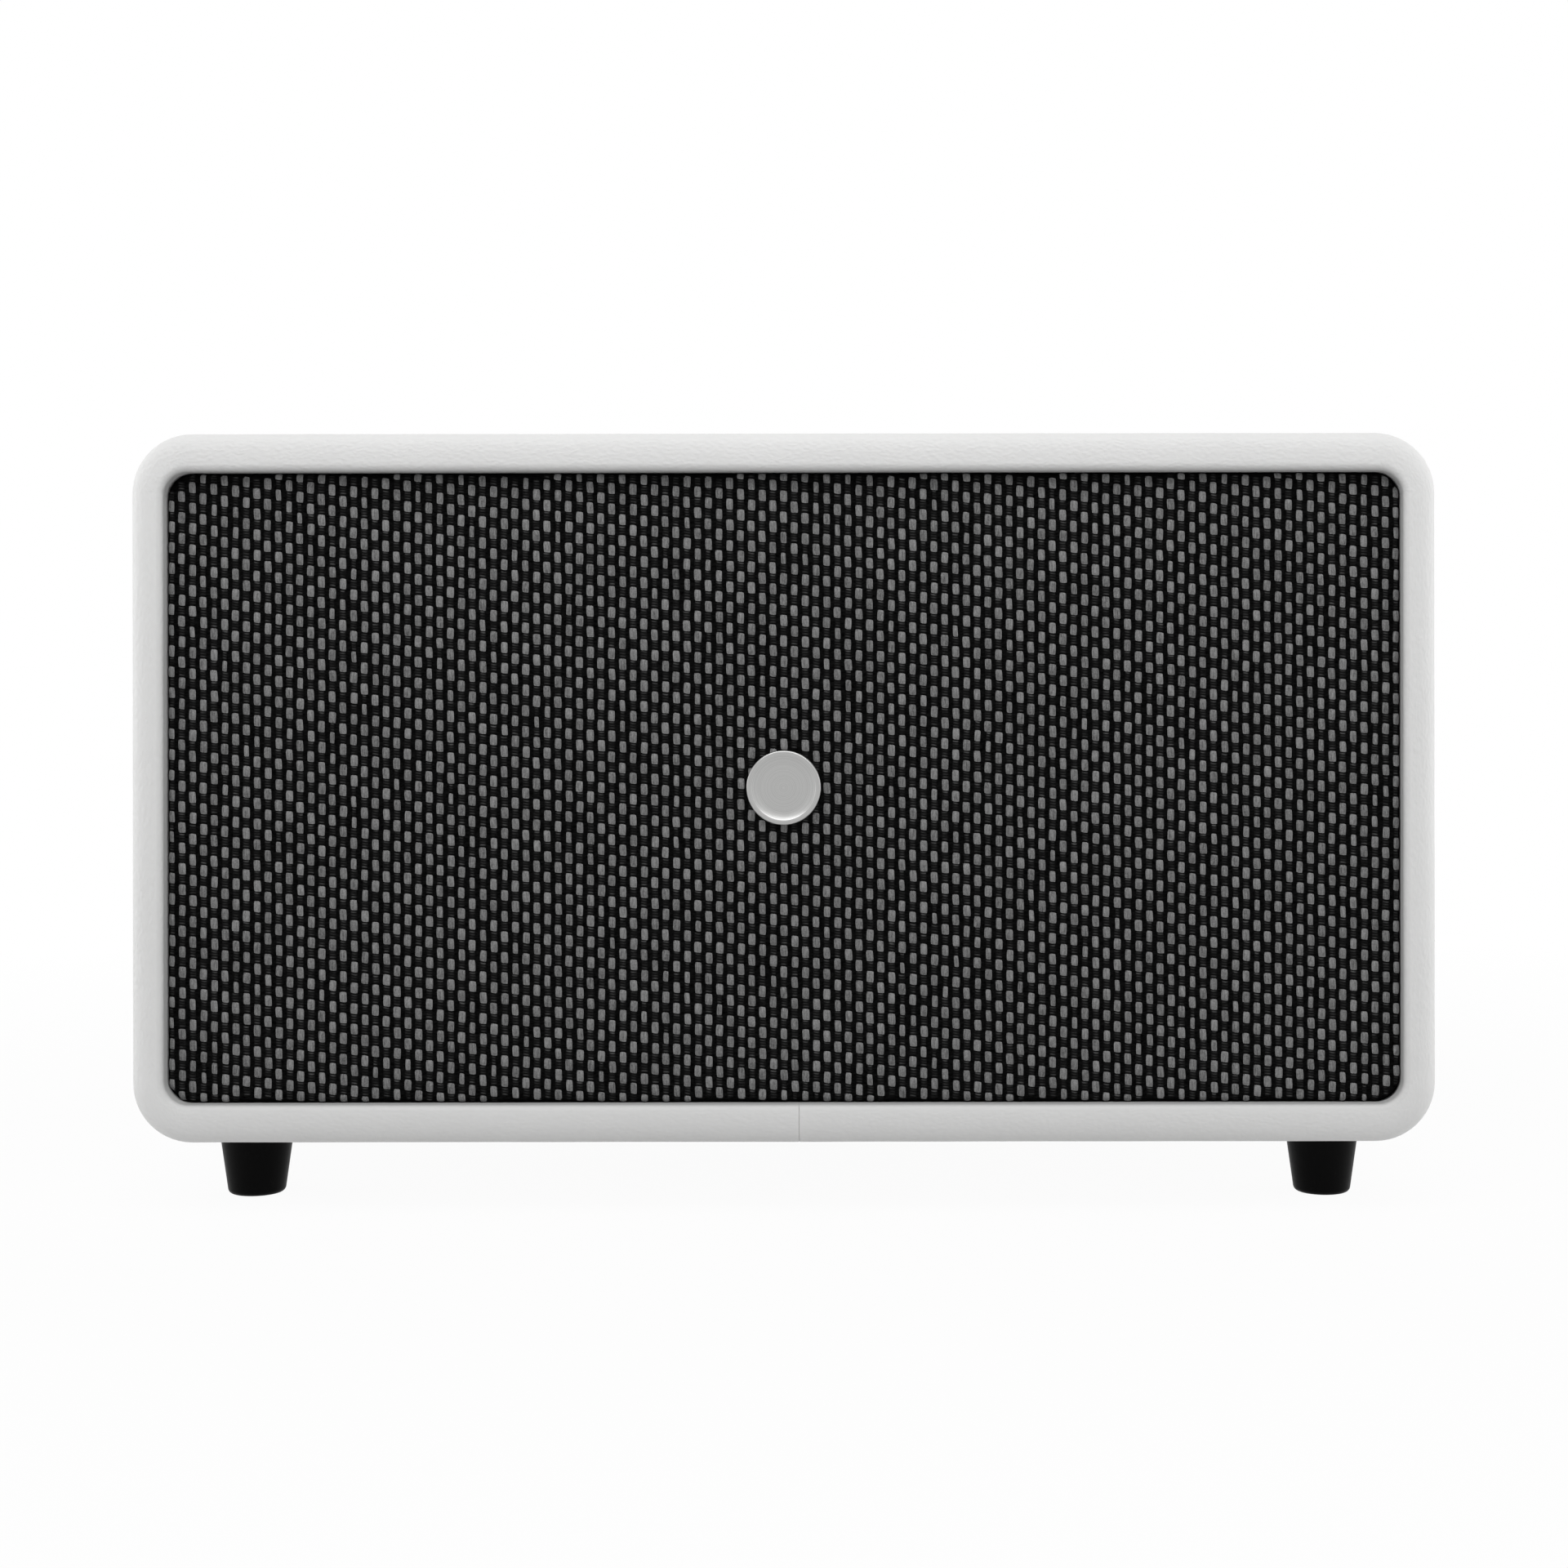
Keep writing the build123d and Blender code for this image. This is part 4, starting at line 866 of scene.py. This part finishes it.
greyFloats = buildYarn("grey", "greyYarn")
darkFloats = buildYarn("dark", "darkYarn")
for piece in (clothGround, greyFloats, darkFloats):
    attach(piece, "cabinet")
    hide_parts("grille_cloth")
print("stage: grille cloth woven,", len(greyFloats.data.polygons), "grey faces,",
      len(darkFloats.data.polygons), "dark faces")


def turnedMesh(name, outline, x, z, steps, closed):
    # an outline of radius and depth, turned about a line along y
    bm = bmesh.new()
    rings = []
    for i in range(steps):
        a = 2 * math.pi * i / steps
        ring = [((x + r * math.cos(a)) * mm, y * mm, (z + r * math.sin(a)) * mm) for r, y in outline]
        rings.append([bm.verts.new(point) for point in ring])
    last = len(outline) if closed else len(outline) - 1
    for row, following in zip(rings, rings[1:] + rings[:1]):
        for j in range(last):
            k = (j + 1) % len(outline)
            bm.faces.new((row[j], following[j], following[k], row[k]))
    if not closed:
        bm.faces.new([row[-1] for row in rings])
        bm.faces.new([row[0] for row in reversed(rings)])
    outward(bm)
    mesh = meshFrom(bm, name)
    smooth(mesh)
    return mesh


# Badge: a plain dished disc with a bead round it
badgeShape = {
    "thick": 1.8, "backChamfer": (0.05, 0.1), "round": 0.45, "roundTurns": (0.4, 0.8, 1.2, 1.57),
    "bead": 1.1, "beadSlope": (0.3, 0.08), "beadFoot": 0.55, "dish": 0.35,
    "dishRadii": (0.6, 0.3), "dishDepths": (0.82, 0.68), "middle": (0.02, 0.62), "steps": 96,
}


def buildBadge():
    shape = badgeShape
    low, high = boxInMm("badge")
    r, front, midZ = (high.x - low.x) / 2, low.y, (low.z + high.z) / 2
    back = front + shape["thick"]
    dish, edge, beadR = shape["dish"], shape["round"], r - shape["bead"]
    inBy, upBy = shape["backChamfer"]
    outline = [(r - inBy, back), (r, back - upBy), (r, front + edge)]
    for a in shape["roundTurns"]:
        outline.append((r - edge + edge * math.cos(a), front + edge - edge * math.sin(a)))
    slopeIn, slopeDown = shape["beadSlope"]
    outline += [(beadR, front), (beadR - slopeIn, front + slopeDown)]
    outline.append((beadR - shape["beadFoot"], front + dish))
    for part, deep in zip(shape["dishRadii"], shape["dishDepths"]):
        outline.append((r * part, front + dish * deep))
    outline.append((shape["middle"][0], front + dish * shape["middle"][1]))
    mesh = turnedMesh("badgeDisc", outline, 0.0, midZ, shape["steps"], closed=False)
    return newPiece("badgeDisc", mesh, "badge")


badgeDisc = buildBadge()
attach(badgeDisc, "cabinet")
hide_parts("badge")
print("stage: badge made")


# Spiders: a folded cloth ring seated in the basket, and a collar glued to the coil that strokes with it
spiderShape = {
    "cloth": 0.5, "wave": 0.45, "folds": 4, "seat": 4.4, "collar": 2.1, "gap": 0.25,
    "steps": 96, "ringPoints": 48, "collarPoints": 6,
}


def buildSpider(side):
    shape = spiderShape
    low, high = boxInMm(side + "_spider")
    coil = boxInMm(side + "_voice_coil")
    x, z, back = (low.x + high.x) / 2, (low.z + high.z) / 2, high.y
    coilR, outerR = (coil[1].x - coil[0].x) / 2, (high.x - low.x) / 2
    collarR, seatR = coilR + shape["collar"], outerR - shape["seat"]

    def folded(r):
        part = clipped((r - collarR) / (seatR - collarR))
        return back - shape["wave"] * (1 - math.cos(2 * math.pi * shape["folds"] * part)) / 2

    def strip(first, last, count):
        radii = [first + (last - first) * i / count for i in range(count + 1)]
        return [(r, folded(r)) for r in radii] + [(r, folded(r) - shape["cloth"]) for r in reversed(radii)]

    outlines = {
        "Ring": strip(collarR + shape["gap"], outerR, shape["ringPoints"]),
        "Collar": strip(coilR, collarR, shape["collarPoints"]),
    }
    pieces = {}
    for part, outline in outlines.items():
        name = side + "Spider" + part
        pieces[part] = newPiece(name, turnedMesh(name, outline, x, z, shape["steps"], closed=True), "spider")
    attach(pieces["Ring"], "cabinet")
    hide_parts(side + "_spider")
    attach(pieces["Collar"], side + "_cone_assembly")


for side in ("left", "right"):
    buildSpider(side)
print("stage: spiders folded")


# Marks on the buttons: plain control signs, a hair proud of each cap
markShape = {
    "height": 0.05, "sunk": 0.05, "stroke": 0.55, "size": 5.0,
    "horn": [(-1.9, -0.6), (-1.0, -0.6), (0.1, -1.6), (0.1, 1.6), (-1.0, 0.6), (-1.9, 0.6)],
    "slash": [(0.9, -1.3), (1.25, -1.6), (2.6, 1.3), (2.25, 1.6)],
    "arrow": [(0.2, -1.2), (1.9, 0.0), (0.2, 1.2)],
}


def arcOutline(r, width, first, last, steps=28):
    inner, outer = r - width / 2, r + width / 2
    angles = [math.radians(first + (last - first) * i / steps) for i in range(steps + 1)]
    ahead = [(outer * math.cos(a), outer * math.sin(a)) for a in angles]
    return ahead + [(inner * math.cos(a), inner * math.sin(a)) for a in reversed(angles)]


def barOutline(x, y, wide, high):
    left, right, bottom, top = x - wide / 2, x + wide / 2, y - high / 2, y + high / 2
    return [(left, bottom), (right, bottom), (right, top), (left, top)]


def markOutlines():
    s, t = markShape["size"], markShape["stroke"]
    level = barOutline(0, 0, s * 0.8, t)
    armY, arm = s * 0.2 + t / 4, s * 0.4 - t / 2
    return {
        "power_button": [arcOutline(s * 0.4, t, 125, 415), barOutline(0, s * 0.32, t, s * 0.42)],
        "source_button": [arcOutline(s * 0.48, t, 40, 320), barOutline(-0.6, 0, 2.4, t), markShape["arrow"]],
        "volume_down_button": [level],
        "volume_up_button": [level, barOutline(0, armY, t, arm), barOutline(0, -armY, t, arm)],
        "mute_button": [markShape["horn"], markShape["slash"]],
    }


for node, outlines in markOutlines().items():
    low, high = boxInMm(node)
    midX, midY = (low.x + high.x) / 2, (low.y + high.y) / 2
    bm = bmesh.new()
    for outline in outlines:
        placed = [(x + midX, y + midY) for x, y in outline]
        part = prism(placed, high.z - markShape["sunk"], high.z + markShape["height"])
        bm.from_mesh(part)
        bpy.data.meshes.remove(part)
    mark = newPiece(node + "Mark", meshFrom(bm, node + "Mark"), "mark")
    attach(mark, node)
print("stage: buttons marked")


# Studio: pale floor, white surround, soft lamps
studio = {"floor": 0.7, "floorReach": 6.0, "white": 0.955, "fade": (0.25, 0.75), "world": 0.42}
pureWhite = (1, 1, 1, 1)


def whiteForCamera(tree):
    # camera, mirror and clear rays see white, and other rays see the plain light
    path = tree.nodes.new("ShaderNodeLightPath")
    rays = ("Is Camera Ray", "Is Glossy Ray", "Is Transmission Ray")
    camera, glossy, clear = (Wire(tree, path.outputs[name]) for name in rays)
    return camera.most(glossy.most(clear))


def buildFloor():
    bm = bmesh.new()
    bmesh.ops.create_grid(bm, x_segments=2, y_segments=2, size=studio["floorReach"])
    mesh = meshFrom(bm, "studioFloor")
    floor = bpy.data.objects.new("studioFloor", mesh)
    bpy.context.collection.objects.link(floor)
    finish = bpy.data.materials.new("paleFloor")
    finish.use_nodes = True
    tree = finish.node_tree
    tree.nodes.clear()
    start = Wire(tree)
    pale = start.make("ShaderNodeBsdfDiffuse", {}, {"Color": (studio["floor"],) * 3 + (1,)})
    bright = start.make("ShaderNodeEmission", {}, {"Color": pureWhite, "Strength": 1.0})
    away = start.make("ShaderNodeVectorMath", {"operation": "LENGTH"}, {0: objectPlace(start)}, "Value")
    near, far = studio["fade"]
    faded = ((away - near) / (far - near)).least(1.0).most(0.0)
    factor = whiteForCamera(tree) * (studio["white"] + faded * (1.0 - studio["white"]))
    mixed = start.make("ShaderNodeMixShader", {}, {0: factor, 1: pale, 2: bright})
    end = tree.nodes.new("ShaderNodeOutputMaterial")
    tree.links.new(mixed.socket, end.inputs["Surface"])
    mesh.materials.append(finish)


def buildWorld():
    world = bpy.data.worlds.new("studioWorld")
    bpy.context.scene.world = world
    world.use_nodes = True
    tree = world.node_tree
    tree.nodes.clear()
    start = Wire(tree)
    plain = start.make("ShaderNodeBackground", {}, {"Color": pureWhite, "Strength": studio["world"]})
    white = start.make("ShaderNodeBackground", {}, {"Color": pureWhite, "Strength": 1.0})
    mixed = start.make("ShaderNodeMixShader", {}, {0: whiteForCamera(tree), 1: plain, 2: white})
    end = tree.nodes.new("ShaderNodeOutputWorld")
    tree.links.new(mixed.socket, end.inputs["Surface"])


lamps = {
    "topSoftbox": {"at": (0.0, -0.535, 0.86), "to": (0.0, -0.09, 0.18), "size": (1.2, 0.5), "power": 5.0},
    "leftPanel": {"at": (-1.1, -0.12, 0.2), "to": (-0.1, -0.09, 0.12), "size": (0.6, 0.7), "power": 4.4},
    "rightPanel": {"at": (1.1, -0.12, 0.2), "to": (0.1, -0.09, 0.12), "size": (0.6, 0.7), "power": 4.4},
    "rearPanel": {"at": (0.0, 1.2, 0.34), "to": (0.0, 0.09, 0.12), "size": (1.2, 0.6), "power": 4.2},
}


def aimed(place, target):
    return (Vector(target) - Vector(place)).to_track_quat("-Z", "Y").to_euler()


def buildLamps():
    for name, lamp in lamps.items():
        light = bpy.data.lights.new(name, "AREA")
        light.shape = "RECTANGLE"
        light.size, light.size_y = lamp["size"]
        light.energy = lamp["power"]
        holder = bpy.data.objects.new(name, light)
        holder.location = lamp["at"]
        holder.rotation_euler = aimed(lamp["at"], lamp["to"])
        bpy.context.collection.objects.link(holder)


view = {
    "place": (0.029, -0.710, 0.1347), "roll": 0.07, "sensor": 36.0, "lens": 53.34,
    "shift": (-0.0687, -0.0453), "clip": (0.01, 50.0),
}


def buildCamera():
    camera = bpy.data.cameras.new("photoCamera")
    camera.sensor_width = view["sensor"]
    camera.sensor_fit = "HORIZONTAL"
    camera.lens = view["lens"]
    camera.shift_x, camera.shift_y = view["shift"]
    camera.clip_start, camera.clip_end = view["clip"]
    holder = bpy.data.objects.new("photoCamera", camera)
    holder.location = view["place"]
    holder.rotation_euler = (math.radians(90), math.radians(view["roll"]), 0)
    bpy.context.collection.objects.link(holder)
    bpy.context.scene.camera = holder


buildFloor()
buildWorld()
buildLamps()
buildCamera()
bpy.context.scene.view_settings.view_transform = "Standard"
print("stage: studio set")
